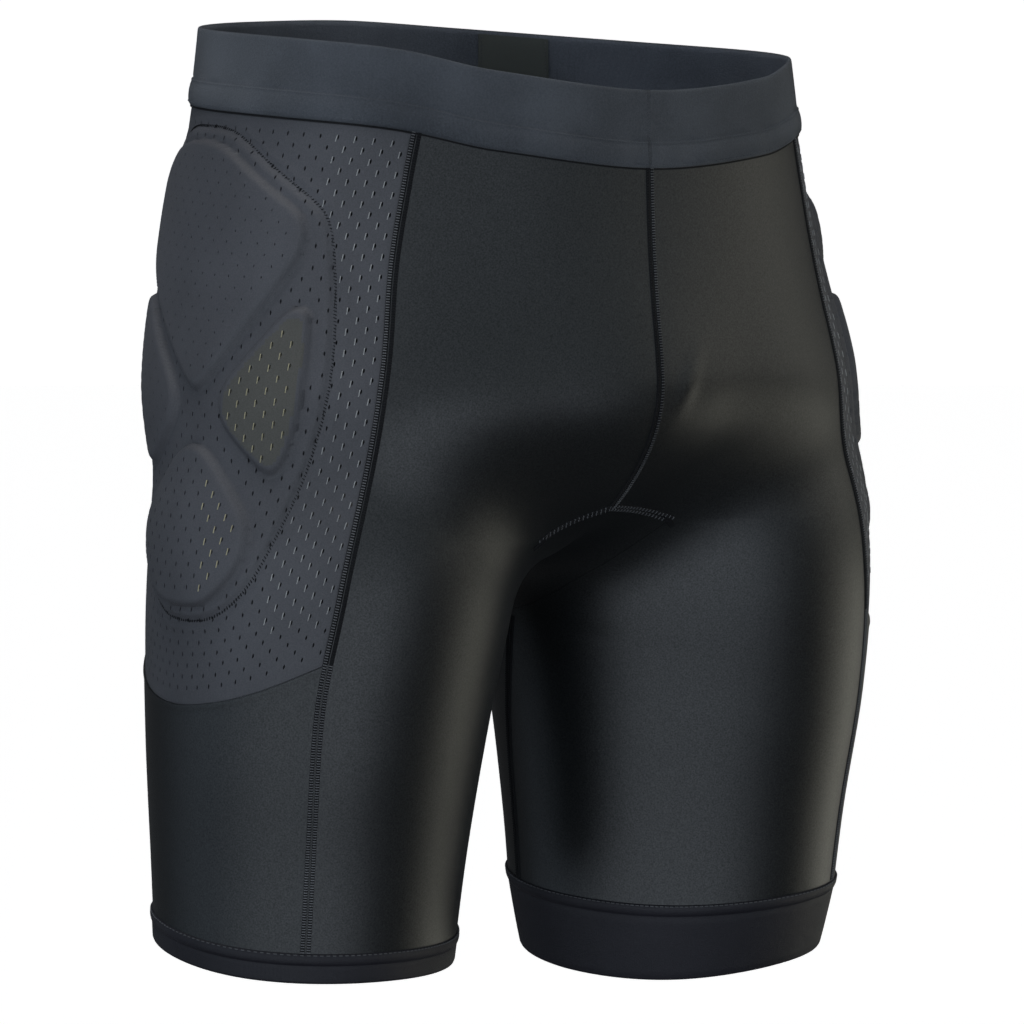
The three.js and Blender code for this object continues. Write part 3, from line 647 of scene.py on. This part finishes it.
# Painted glints: bright and warm-bright yarn for the stitches beside the slits
MESH_PAINTED_GLINT = cloth("painted_slit_glint", (0.20, 0.20, 0.20), (0.34, 0.34, 0.33), **PAINTED_GLINT_YARN)
MESH_PAINTED_WARM_GLINT = cloth("painted_slit_warm_glint", (0.22, 0.195, 0.12), (0.35, 0.315, 0.20), **PAINTED_GLINT_YARN)
ELASTIC = cloth("waist_elastic", (0.036, 0.040, 0.047), (0.084, 0.091, 0.104), **RIBBED)
# Painted light: a lighter copy of the waist elastic for the band's inside
ELASTIC_PAINTED_LIGHT = cloth("waist_elastic_painted_light", (0.062, 0.069, 0.084), (0.142, 0.154, 0.182), **RIBBED)
LEG_ELASTIC = cloth("leg_elastic", (0.0065, 0.0062, 0.0092), (0.013, 0.0122, 0.0168), **TIGHT_RIBBED)
FOAM = cloth("foam", (0.020, 0.020, 0.023), (0.035, 0.035, 0.038), **SPONGE)
# Painted light: a lighter, olive copy of the foam for the front lobe
FOAM_PAINTED_LIGHT = cloth("foam_painted_light", (0.15, 0.14, 0.10), (0.24, 0.22, 0.16), **SPONGE)
LABEL = cloth("label_weave", (0.058, 0.062, 0.056), (0.082, 0.087, 0.079), **WOVEN)
THREAD = cloth("seam_thread", (0.045, 0.046, 0.049), (0.105, 0.107, 0.112), **SPUN)
THREAD_LIGHT = cloth("seam_thread_light", (0.075, 0.076, 0.080), (0.165, 0.167, 0.173), **SPUN)
SEAM = cloth("seam_bed", (0.004, 0.004, 0.005), (0.010, 0.010, 0.011), **MATT_SPUN)


def place(piece, nodes):
    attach(piece, "root")
    if nodes:
        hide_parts(*nodes)


# Waistband: a soft wall with a puffed strip where it joins the panels, from a profile of drop and thickness
STRIP_TOP = 24.6
STRIP_HEIGHT = 11.6
STRIP_PUFF = 1.25
FACE_OUT = 2.15
WAVE_BELOW = 23
INSIDE_ROWS = 13
WAIST_FLAT_PER_DEGREE = 0.235
WAVES = ((0.18, 23, 0.0), (0.12, 41, 1.0))
STITCH_ROW = {"drop": 34.8, "out": 2.75}
# Place of the dark ribbon under the strip: painted shadow of the gap
PAINTED_SHADOW_LINE = {"drop": 36.9, "out": 1.5}


def waist_edge_at(turn):
    p = waist_point(turn, np.zeros_like(turn))
    p = waist_point(turn, waist_top(p))
    return waist_top(p)


def waist_profile():
    top_roll = [(0.8, 0.25), (0.2, 0.8), (0.1, 1.2), (0.35, 1.8), (1.0, 2.1)]
    face = [(d, FACE_OUT + 0.12 * np.sin(np.pi * d / 24)) for d in np.linspace(2.5, 22.5, 12)]
    thin_ridge = [(23.3, 2.12), (23.9, 2.05), (24.3, 2.2), (STRIP_TOP, 2.75), (24.9, 2.85), (25.2, 2.75)]
    share = np.linspace(0, 1, 13)[1:-1]
    strip = [(STRIP_TOP + STRIP_HEIGHT * s, 2.1 + STRIP_PUFF * np.sin(np.pi * s) ** 0.55) for s in share]
    bottom = [(36.3, 1.9), (36.45, 1.0), (36.4, 0.2)]
    inside = [(d, 0.05) for d in np.linspace(34, 3, 12)]
    return np.array(top_roll + face + thin_ridge + strip + bottom + inside)


def make_waistband():
    turn = np.linspace(0, 360, 300, endpoint=False)
    top = waist_edge_at(turn)
    profile = waist_profile()
    wave = sum(high * np.sin(np.radians(turn) * times + start) for high, times, start in WAVES)
    rings = []
    for drop, out in profile:
        p, n = lay(waist_point(turn, top - drop))
        soft = wave * (drop > WAVE_BELOW) * (out > CLOTH)
        rings.append(p + n * (out + soft)[:, None])
    rings = np.stack(rings)
    size, count = rings.shape[:2]
    flat = np.stack(np.meshgrid(turn * WAIST_FLAT_PER_DEGREE, -profile[:, 0] * MM_FLAT), -1)
    build = Builder()
    faces = tube_faces(rings)
    # The inside rows get the lighter copy of the elastic: painted light
    inside = np.repeat(np.arange(size) >= size - INSIDE_ROWS, count)
    build.add(rings, [faces[~inside], faces[inside]], (0, 1), flat)
    return build.finish("waistband", [ELASTIC, ELASTIC_PAINTED_LIGHT])


def waist_path(drop, out):
    """A path round the waistband, with its normals and directions."""
    turn = np.linspace(0, 360, 290, endpoint=False)
    p, n = lay(waist_point(turn, waist_edge_at(turn) - drop))
    p = p + n * out
    t, b = path_frame(p, n, True)
    return p, n, t, b


def make_waist_stitches():
    """A row of stitches on the strip, and a dark ribbon under its lower edge: painted shadow where the panels
    are sewn in.
    """
    build = Builder()
    p, n, t, b = waist_path(**STITCH_ROW)
    add_stitches(build, p, t, b, n, STITCH["waist"], 1)
    # Painted shadow: a dark ribbon along the strip's lower edge
    p, n, t, b = waist_path(**PAINTED_SHADOW_LINE)
    add_ribbon(build, p, n, b, WAIST_SHADOW_PROFILE, 0, True)
    return build.finish("waist_stitches", [SEAM, ELASTIC])


place(make_waistband(), ["waistband"])
place(make_waist_stitches(), ())


# Label: bare, sewn flat inside the back of the band
LABEL_TURN = 138
LABEL_WIDTH = 15
LABEL_DROP = (2, 33)
LABEL_INSET = 0.5
LABEL_THICK = 0.5
LABEL_PUFF = 0.35
LABEL_STITCH_DEEP = 1.15


def make_label():
    u = np.linspace(0, 1, 25)
    v = np.linspace(0, 1, 17)[:, None]
    turn = LABEL_TURN + LABEL_WIDTH * (u - 0.5)
    drop = np.linspace(*LABEL_DROP, len(v))[:, None]
    p, n = lay(waist_point(turn[None].repeat(len(v), 0), waist_edge_at(turn)[None] - drop))
    puff = LABEL_PUFF * np.sin(np.pi * u[None]) ** 0.5 * np.sin(np.pi * v) ** 0.5
    build = Builder()
    deep = LABEL_INSET + LABEL_THICK + puff
    wall(build, p - n * LABEL_INSET, p - n * deep[..., None], flat_grid(p))
    stitches = Builder()
    for k in (1, -2):
        path = along_path(p[1:-1, k], spacing=2.0)
        m = body_normal(path)
        t, b = path_frame(path, m)
        add_stitches(stitches, path - m * LABEL_STITCH_DEEP, t, b, -m, STITCH["label"], 0)
    place(build.finish("size_label", [LABEL]), ["size_label"])
    place(stitches.finish("label_stitches", [THREAD]), ())


make_label()


# Gusset and the front and back panels; counts of points along the parts of a panel's inner edge
MIDDLE_COUNT = 42
ARCH_COUNT = 24
FLANK_COUNT = 30
INSEAM_COUNT = 36
ARCH_END = MIDDLE_COUNT + ARCH_COUNT
PANEL_COLUMNS = 48
EDGE_FADE = 36
PANEL_RADIUS = 95


def gusset_point(side, across, along):
    across = np.asarray(across, float)
    along = np.asarray(along, float)
    y = GUSSET_MIDDLE["front"] + (GUSSET_MIDDLE["back"] - GUSSET_MIDDLE["front"]) * along
    middle = under_body(0.0, y)
    word = "left" if side > 0 else "right"
    angle, z = (column(GUSSET_EDGE, "along", f"{word}_{kind}", along) for kind in ("angle", "z"))
    edge = half_point(side, angle, z)
    return onto_body(middle + (edge - middle) * across[..., None])


def panel_edge(side, behind):
    """The inner edge of a panel: down the middle, round the gusset, then down the inner thigh."""
    along = 1.0 if behind else 0.0
    facing = 1.0 if behind else -1.0
    at = cast_level(0.0, 0.0, facing, np.array([NEAR_WAIST]))
    top = (waist_top(at) - BAND_HEIGHT - 2 * SEAM_PULL)[0]
    join = under_body(0.0, np.array([GUSSET_MIDDLE["back" if behind else "front"]]))[0, 2]
    z = top + (join - top) * np.arange(MIDDLE_COUNT) / MIDDLE_COUNT
    middle = cast_level(0.0, 0.0, facing, z)
    k = np.arange(ARCH_COUNT + 1) / ARCH_COUNT
    arch = gusset_point(side, k, np.full(k.shape, along))
    k = np.arange(1, FLANK_COUNT + 1) / (2 * FLANK_COUNT)
    flank = gusset_point(side, np.ones(k.shape), 1 - k if behind else k)
    end = leg_top(column(INSEAM, "z", "angle", np.array([NEAR_HEM["inner"]])))[0] - TUCK
    z = flank[-1, 2] + (end - flank[-1, 2]) * np.arange(1, INSEAM_COUNT + 1) / INSEAM_COUNT
    inseam = half_point(side, column(INSEAM, "z", "angle", z), z)
    return np.concatenate([middle, arch, flank, inseam])


def panel_grid(side, behind):
    table = REAR_SEAM if behind else FRONT_SEAM
    inner = panel_edge(side, behind)
    inner_angle = half_angle(side, inner, behind)
    outer_top, outer_end = seam_ends(side, table)
    outer_end = outer_end - TUCK
    count = len(inner)
    row = np.arange(count)
    outer_z = outer_top + (outer_end - outer_top) * row / (count - 1)
    outer_angle = column(table, "z", "angle", outer_z)
    length = np.abs(inner_angle - outer_angle) * np.radians(1) * PANEL_RADIUS
    pull = (SEAM_PULL / length)[:, None]
    u = pull + (1 - 2 * pull) * np.linspace(0, 1, PANEL_COLUMNS + 1)[None]
    angle = outer_angle[:, None] + (inner_angle - outer_angle)[:, None] * u
    z = outer_z[:, None] + (inner[:, 2] - outer_z)[:, None] * u
    from_top = np.maximum(1 - row / EDGE_FADE, 0)[:, None]
    from_end = np.maximum(1 - (count - 1 - row) / EDGE_FADE, 0)[:, None]
    z = z + from_top * (under_waist(side, angle[0]) - z[0])[None]
    z = z + from_end * (leg_top(angle[-1]) - TUCK - z[-1])[None]
    return lay(half_point(side, angle, z))


def make_gusset():
    along, across = np.meshgrid(np.linspace(0.002, 0.998, 61), np.linspace(0, 0.995, 25), indexing="ij")
    right, left = (gusset_point(side, across, along) for _, side in SIDES)
    p, n = lay(np.concatenate([right[:, :0:-1], left], axis=1))
    return soft_wall("crotch_gusset", p, n, KNIT)


place(make_gusset(), ["crotch_gusset"])
for word, side in SIDES:
    for which, behind in (("front", False), ("back", True)):
        name = f"{which}_panel_{word}"
        place(soft_wall(name, *panel_grid(side, behind), KNIT), [name])


# Side panels: slit mesh drawn over the pad
def side_angle(z, u):
    """Angle at a share of the way from the rear seam to the front seam, just inside both."""
    margin = SEAM_PULL / PAD_MM_PER_DEGREE
    rear = column(REAR_SEAM, "z", "angle", z) + margin
    front = column(FRONT_SEAM, "z", "angle", z) - margin
    return rear + (front - rear) * u


def mesh_places(side, u, v):
    """Angle and height of points of the side panel from their places across and down."""
    angles = np.linspace(*MESH_ANGLES, 72)
    tops = under_waist(side, angles)
    z = np.full(np.shape(u), PAD_CENTRE)
    for _ in range(10):
        angle = side_angle(z, u)
        top = np.interp(angle, angles, tops)
        end = column(MESH_BOTTOM, "angle", "z", angle) + SEAM_PULL
        z = top + (end - top) * v
    return angle, z


def cut_slit(outer, inner, r, q, big):
    """Draws six points of a grid together into a slit, and gives its middle and directions."""
    middle = (outer[r + 1, q] + outer[r + 1, q + 1]) / 2
    wide = outer[r + 1, q + 1] - outer[r + 1, q]
    long = (outer[r, q] + outer[r, q + 1] - outer[r + 2, q] - outer[r + 2, q + 1]) / 2
    wide = wide / np.linalg.norm(wide)
    long = long / np.linalg.norm(long)
    under = inner[r + 1, q:q + 2].mean(axis=0)
    for down, share in ((0, SLIT_TAPER), (1, 1.0), (2, SLIT_TAPER)):
        for right in (0, 1):
            go = wide * ((2 * right - 1) * SLIT_HALF[0] * share * big)
            go = go + long * ((1 - down) * SLIT_HALF[1] * big)
            outer[r + down, q + right] = middle + go
            inner[r + down, q + right] = under + go
    return middle, wide, long


def slit_rim(quads, count):
    """Faces that join the outer and inner layer along every free edge."""
    sides = np.concatenate([quads[:, [0, 1]], quads[:, [1, 2]], quads[:, [2, 3]], quads[:, [3, 0]]])
    there = sides[:, 0] * count + sides[:, 1]
    back = sides[:, 1] * count + sides[:, 0]
    alone = sides[~np.isin(there, back)]
    return np.stack([alone[:, 1], alone[:, 0], alone[:, 0] + count, alone[:, 1] + count], -1)


def make_side_mesh(word, side):
    columns, rows = CELL_COLUMNS * SLIT_COLUMNS, CELL_ROWS * SLIT_ROWS
    u, v = np.meshgrid(np.linspace(0, 1, columns + 1), np.linspace(0, 1, rows + 1))
    angle, z = mesh_places(side, u, v)
    p, n = lay(half_point(side, angle, z, step=10.0))
    across, high = over_pad(angle, z, PAD_DROP[word])
    under = pad_height(across, high)
    under = under + LAYER_GAP * np.clip(under, 0, 1) + SKIN_GAP
    inner = p + n * under[..., None]
    outer = inner + n * MESH_CLOTH
    flat = flat_grid(p)
    rims = np.min([shape_reach(corners, across, high) for corners in LOBES], axis=0)
    outline = shape_reach(PAD_OUTLINE, across, high)
    smooth_lobes = np.minimum(shape_reach(UPPER_LOBE, across, high), shape_reach(REAR_LOBE, across, high))
    size = 1 - SMOOTH_LOBE_SHRINK * smooth_step(*SMOOTH_LOBE_EDGE, smooth_lobes)
    keep = np.ones((rows, columns), bool)
    # Light stitches beside the slits are painted glints: bright in the strip by the front seam, warm over the
    # front lobes
    threads = {"bright": [], "warm": []}
    for k in range(1, SLIT_ROWS - 1):
        r = CELL_ROWS * k + 1
        for q in range(FIRST_SLIT[k % 2], columns - 2, CELL_COLUMNS):
            if -LOBE_TOP - RIM_CLEAR < rims[r + 1, q] < RIM_CLEAR:
                continue
            keep[r:r + 2, q] = False
            middle, wide, long = cut_slit(outer, inner, r, q, size[r + 1, q])
            at = middle - wide * SLIT_THREAD_SHIFT[0] - long * SLIT_THREAD_SHIFT[1]
            thread = (at, long + wide * SLIT_THREAD_LEAN, wide, n[r + 1, q])
            in_strip = angle[r, q] > PAINTED_GLINT_STRIP["angle"] and z[r, q] > PAINTED_GLINT_STRIP["z"]
            if in_strip and outline[r, q] > PAINTED_GLINT_STRIP["off_pad"]:
                threads["bright"].append(thread)
            elif painted_warm_glints(across[r, q], high[r, q]):
                threads["warm"].append(thread)
    count = (rows + 1) * (columns + 1)
    keep = keep.ravel()
    quads = grid_faces(rows + 1, columns + 1)[keep]
    # Mesh faces over the front lobe get the lighter, warm copy: painted light
    warm = front_lobe_painted_light(across, high)[:-1, :-1].ravel()[keep]
    blocks = [quads[~warm], quads[warm], quads[:, ::-1] + count, slit_rim(quads, count)]
    if side < 0:
        # A turned face is split along its other diagonal, which here follows the rims of the upper lobe
        blocks = [block[:, ::-1] for block in blocks]
    layers, flats = both_sides(outer, inner, flat)
    build = Builder()
    build.add(layers, blocks, (0, 1, 0, 0), flats)
    # The painted glint stitches get the bright and warm-bright yarn
    for look, kind in ((2, "bright"), (3, "warm")):
        middle, along, wide, up = (np.array(part) for part in zip(*threads[kind]))
        add_stitches(build, middle, along, wide, up, STITCH["slit"], look)
    return build.finish(f"side_mesh_{word}", [MESH, MESH_PAINTED_WARM_LIGHT, MESH_PAINTED_GLINT, MESH_PAINTED_WARM_GLINT], sharp=60)


def make_hip_pad(word, side):
    turn = np.linspace(0, 2 * np.pi, 150, endpoint=False)
    share = np.linspace(0.02, 1, 52)[:, None]
    edge_across, edge_rise = pad_ring(turn, -FOAM_INSET)
    across = share * edge_across[None]
    z = PAD_CENTRE + share * edge_rise[None]
    p, n = lay(half_point(side, pad_angle(across, z), z - PAD_DROP[word]))
    top = p + n * np.maximum(pad_height(across, z) - FOAM_UNDER_MESH, FOAM_LEAST)[..., None]
    count, size = p.shape[:2]
    whole = count * size
    outside = grid_faces(count, size, loop=True)
    # Foam faces of the front lobe get the lighter copy: painted light
    warm = front_lobe_painted_light(across, z)[:-1].ravel()
    last = (count - 1) * size + np.arange(size)
    following = np.roll(last, -1)
    rim = np.stack([last, following, following + whole, last + whole], -1)
    caps = [np.arange(size)[None], (whole + np.arange(size))[None]]
    blocks = [outside[~warm], outside[warm], outside + whole, rim] + caps
    layers, flats = both_sides(top, p + n * SKIN_GAP, np.stack([across, z], -1) * MM_FLAT)
    build = Builder()
    build.add(layers, blocks, (0, 1, 0, 0, 0, 0), flats)
    return build.finish(f"hip_pad_{word}", [FOAM, FOAM_PAINTED_LIGHT])


for word, side in SIDES:
    place(make_side_mesh(word, side), [f"side_mesh_{word}"])
    place(make_hip_pad(word, side), [f"hip_pad_{word}"])


# Lower side panels, a little thicker along the top edge where they meet the mesh
THIGH_TOP_RIDGE = (0.35, 0.9, 1.2)
THIGH_MIDDLE = -350.0


def make_thigh_panel(word, side):
    u, v = np.meshgrid(np.linspace(0, 1, 49), np.linspace(0, 1, 41) ** 1.3)
    z = np.full(u.shape, THIGH_MIDDLE)
    for _ in range(8):
        angle = side_angle(z, u)
        top = column(MESH_BOTTOM, "angle", "z", angle) - SEAM_PULL
        z = top + (leg_top(angle) - TUCK - top) * v
    p, n = lay(half_point(side, angle, z, step=8.0))
    return soft_wall(f"thigh_panel_{word}", p, n, THIGH_KNIT, ridge(top - z, *THIGH_TOP_RIDGE))


# Leg bands: a bulge along the top edge over a flat band, from a profile of drop and thickness
LEG_BULGE = {"most": 5.0, "share": 0.4}
HEM_ROW = {"drop": 0.7, "out": 2.4}
LEG_FLAT_PER_DEGREE = 0.12


def leg_profile(height):
    bulge = min(LEG_BULGE["most"], height * LEG_BULGE["share"])
    top = [(0.15, 0.2), (0.05, 1.2), (0.3, 2.2)]
    swell = np.linspace(0.8, bulge, 8)
    swell = [(d, 2.2 + 0.7 * np.sin(np.pi * d / (bulge + 0.6)) ** 0.7) for d in swell]
    groove = [(bulge + 0.5, 2.0), (bulge + 1.0, 1.9)]
    face = [(d, 2.15) for d in np.linspace(bulge + 2.0, height - 1.2, 10)]
    bottom = [(height - 0.4, 1.9), (height, 1.2), (height - 0.3, 0.4)]
    inside = [(d, 0.08) for d in np.linspace(height - 1.2, 1.5, 8)]
    return np.array(top + swell + groove + face + bottom + inside)


def make_leg_band(word, side):
    height = LEG_BAND_HEIGHT[word]
    turn = np.linspace(0, 360, 220, endpoint=False)
    slant = 1 - LEG_BAND_SLANT[word] * np.cos(np.radians(turn))
    profile = leg_profile(height)
    rings = []
    for drop, out in profile:
        p, n = lay(half_point(side, turn, leg_top(turn) - drop * slant))
        rings.append(p + n * (out - LEG_BAND_TAPER[word] * drop / height))
    rings = np.stack(rings)
    flat = np.stack(np.meshgrid(turn * LEG_FLAT_PER_DEGREE, -profile[:, 0] * MM_FLAT), -1)
    build = Builder()
    build.add(rings, tube_faces(rings), 0, flat)
    return build.finish(f"leg_band_{word}", [LEG_ELASTIC])


def make_hem_stitches(word, side):
    turn = np.linspace(0, 360, 170, endpoint=False)
    p, n = lay(half_point(side, turn, leg_top(turn) - HEM_ROW["drop"]))
    p = p + n * HEM_ROW["out"]
    t, b = path_frame(p, n, True)
    build = Builder()
    add_stitches(build, p, t, b, n, STITCH["hem"], 0)
    return build.finish(f"hem_stitches_{word}", [THREAD])


for word, side in SIDES:
    place(make_thigh_panel(word, side), [f"thigh_panel_{word}"])
    place(make_leg_band(word, side), [f"leg_band_{word}"])
    place(make_hem_stitches(word, side), ())


# Flat seams: two low beds of cross threads with a dark line between; above the thighs the threads of one bed
# are painted dark, as painted shade
DARK, GREY, LIGHT = range(3)
THREAD_RISE = 0.3


def make_seam(name, path, gap=1.4, pitch=1.25, thread=GREY, painted_shade_side=0):
    p, n = lay(onto_body(along_path(path, pitch)))
    p = p + n * CLOTH
    t, b = path_frame(p, n)
    build = Builder()
    for sign in (-1, 1):
        bed = [(a + sign * gap, h) for a, h in SEAM_BED]
        add_ribbon(build, p, n, b, bed, DARK)
        middle = p + b * (sign * gap) + n * THREAD_RISE
        # Threads of the shaded bed above the thighs get the dark seam colour: painted shade
        dark = (p[:, 2] > PAINTED_SHADE_ABOVE) & (sign == painted_shade_side)
        for some, look in ((dark, DARK), (~dark, thread)):
            add_stitches(build, middle[some], b[some], t[some], n[some], STITCH["seam"], look)
    add_ribbon(build, p, n, b, SEAM_LINE, DARK)
    place(build.finish(name, [SEAM, THREAD, THREAD_LIGHT]), ())


for word, side in SIDES:
    for which, table, painted_shade_side in (("front", FRONT_SEAM, -side), ("rear", REAR_SEAM, side)):
        top, end = seam_ends(side, table)
        z = np.linspace(top - TUCK, end + TUCK, 220)
        path = half_point(side, column(table, "z", "angle", z), z)
        make_seam(f"{which}_seam_{word}", path, thread=LIGHT, painted_shade_side=painted_shade_side)
    make_seam(f"inner_seam_{word}", panel_edge(side, False)[-INSEAM_COUNT:], thread=DARK)
for which, behind in (("front", False), ("back", True)):
    right, left = (panel_edge(side, behind) for _, side in SIDES)
    make_seam(f"{which}_middle_seam", right[:MIDDLE_COUNT + 1], gap=1.25, painted_shade_side=-1)
    arch = np.concatenate([right[MIDDLE_COUNT:ARCH_END + 1][::-1], left[MIDDLE_COUNT + 1:ARCH_END + 1]])
    make_seam(f"{which}_arch_seam", arch, gap=1.3, pitch=2.3)


# Bar tacks at the ends of the front arch
TACK_HALF = 3.6
TACK_THREADS = 15
TACK_RISE = 0.5


def make_tacks():
    build = Builder()
    for _, side in SIDES:
        edge = panel_edge(side, False)[ARCH_END - 2:ARCH_END + 3]
        p, n = lay(onto_body(along_path(edge, spacing=0.55)))
        t, b = path_frame(p, n)
        middle = len(p) // 2
        k = np.linspace(-1, 1, TACK_THREADS)[:, None]
        row = p[middle] + b[middle] * k * TACK_HALF + n[middle] * (CLOTH + TACK_RISE)
        along, across, up = (np.tile(way[middle], (TACK_THREADS, 1)) for way in (t, b, n))
        add_stitches(build, row, along, across, up, STITCH["tack"], 0)
    return build.finish("bar_tacks", [SEAM])


place(make_tacks(), ())


# Stitching round the pads, sunk a little into the mesh
STITCHING_OUT = 0.3
STITCHING_SINK = 0.05
STITCHING_SLANT = (0.9, 0.35)


def make_pad_stitching(word, side):
    drop = PAD_DROP[word]
    across, rise = pad_ring(np.linspace(0, 2 * np.pi, 1200), STITCHING_OUT)
    z = PAD_CENTRE + rise
    path = along_path(half_point(side, pad_angle(across, z), z - drop), spacing=1.6)[:-1]
    p, n = lay(onto_body(path))
    turned = half_angle(side, p, False)
    turned = np.where(turned > 180, turned - 360, turned)
    over = pad_height(*over_pad(turned, p[:, 2], drop))
    p = p + n * (over + LAYER_GAP + MESH_CLOTH - STITCHING_SINK)[:, None]
    t, b = path_frame(p, n, True)
    build = Builder()
    add_ribbon(build, p, n, b, PAD_LINE, 0, True)
    slanted = b * STITCHING_SLANT[0] + t * STITCHING_SLANT[1]
    add_stitches(build, p, slanted, t, n, STITCH["pad"], 0)
    return build.finish(f"pad_stitching_{word}", [SEAM])


for word, side in SIDES:
    place(make_pad_stitching(word, side), ())


# Floor and backdrop, in metres
FLOOR = {"half": 24.0, "z": -1.9, "glow": 0.6}
BACKDROP = {"radius": 20.0, "top": 20.0, "overlap": 0.5, "sides": 48, "glow": 0.95}


def paper(strength):
    material = bpy.data.materials.new("backdrop_paper")
    material.use_nodes = True
    shader = material.node_tree.nodes["Principled BSDF"]
    set_inputs(shader, Base_Color=(0.92, 0.92, 0.92, 1), Roughness=1.0, Specular_IOR_Level=0.0)
    set_inputs(shader, Emission_Color=(1, 1, 1, 1), Emission_Strength=strength)
    return material


def add_stage(name, corners, faces, glow):
    """A pale piece of the stage that throws no light or shadow on the shorts."""
    mesh = bpy.data.meshes.new(name)
    mesh.from_pydata(corners, [], faces)
    mesh.materials.append(paper(glow))
    stage = add_object(name, mesh)
    stage.visible_diffuse = False
    stage.visible_glossy = False
    stage.visible_shadow = False


def make_stage():
    """A pale floor, and a pale backdrop far round it that is closed at the top."""
    half, floor = FLOOR["half"], FLOOR["z"]
    corners = [(-half, -half, floor), (half, -half, floor), (half, half, floor), (-half, half, floor)]
    add_stage("floor", corners, [(0, 1, 2, 3)], FLOOR["glow"])
    sides = BACKDROP["sides"]
    turn = np.linspace(0, 2 * np.pi, sides, endpoint=False)
    ring = BACKDROP["radius"] * np.stack([np.cos(turn), np.sin(turn)], -1)
    heights = (floor - BACKDROP["overlap"], BACKDROP["top"])
    rows = np.concatenate([np.column_stack([ring, np.full(sides, h)]) for h in heights])
    faces = grid_faces(2, sides, loop=True).tolist() + [list(range(sides, 2 * sides))]
    add_stage("backdrop", rows.tolist(), faces, BACKDROP["glow"])


make_stage()


# Light and camera, in metres; turns are measured from the camera's own
CAMERA_TURN = -39.0
CAMERA_RISE = 6.0
CAMERA_FAR = 3.0
TARGET = Vector((0, 0, -0.22))
PICTURE = 1024
PICTURE_SHIFT = (14, -15)


def direction(turn, rise):
    a, e = np.radians(turn), np.radians(rise)
    return Vector((np.sin(a) * np.cos(e), -np.cos(a) * np.cos(e), np.sin(e)))


def add_light(name, turn, rise, far, size, glow, colour):
    """A soft panel that faces the shorts; its glow is as bright as white paper at 1."""
    light = bpy.data.lights.new(name, "AREA")
    light.shape = "RECTANGLE"
    light.size, light.size_y = size
    light.energy = glow * np.pi * size[0] * size[1]
    light.color = colour
    lamp = add_object(name, light)
    way = direction(CAMERA_TURN + turn, rise)
    lamp.location = TARGET + way * far
    lamp.rotation_euler = way.to_track_quat("Z", "Y").to_euler()
    lamp.visible_camera = False


add_light("left", -75, 3, 2.6, (2.9, 3.0), 0.55, (0.80, 0.96, 1.15))
add_light("front", -5, -20, 2.6, (5.1, 2.0), 1.22, (0.90, 1.0, 1.12))
add_light("front_edge", 45, -11, 2.6, (1.1, 1.0), 1.0, (0.90, 1.0, 1.12))
add_light("upper_left", -22, 20, 2.6, (2.15, 1.1), 0.8, (0.88, 1.0, 1.12))
add_light("upper_right", 15, 20, 2.6, (1.4, 1.1), 0.7, (0.88, 1.0, 1.12))
add_light("upper_side", 57, 12, 2.6, (2.65, 1.1), 0.42, (0.84, 1.0, 1.10))
add_light("top_left", -30, 60, 1.5, (1.1, 1.1), 1.3, (0.92, 1.0, 1.10))
add_light("warm_low", 122, -17, 2.4, (1.6, 0.8), 1.15, (1.0, 0.98, 0.84))
add_light("warm", 112, 6, 2.4, (1.5, 0.75), 0.72, (1.0, 0.98, 0.86))
add_light("warm_high", 90, 10, 2.4, (0.85, 1.0), 0.7, (1.0, 0.98, 0.88))
sun = bpy.data.lights.new("overhead", "SUN")
sun.energy = 1.2
sun.angle = 0.5
add_object("overhead", sun)

world = bpy.data.worlds.new("studio")
world.use_nodes = True
set_inputs(world.node_tree.nodes["Background"], Color=(0.95, 0.97, 1.0, 1), Strength=0.05)
bpy.context.scene.world = world
bpy.context.scene.view_settings.view_transform = "Standard"

lens = bpy.data.cameras.new("camera")
lens.sensor_width = 36.0
lens.lens = 219.4
lens.shift_x, lens.shift_y = (shift / PICTURE for shift in PICTURE_SHIFT)
lens.clip_end = 200.0
camera = add_object("camera", lens)
view = direction(CAMERA_TURN, CAMERA_RISE)
camera.location = TARGET + view * CAMERA_FAR
camera.rotation_euler = view.to_track_quat("Z", "Y").to_euler()
bpy.context.scene.camera = camera
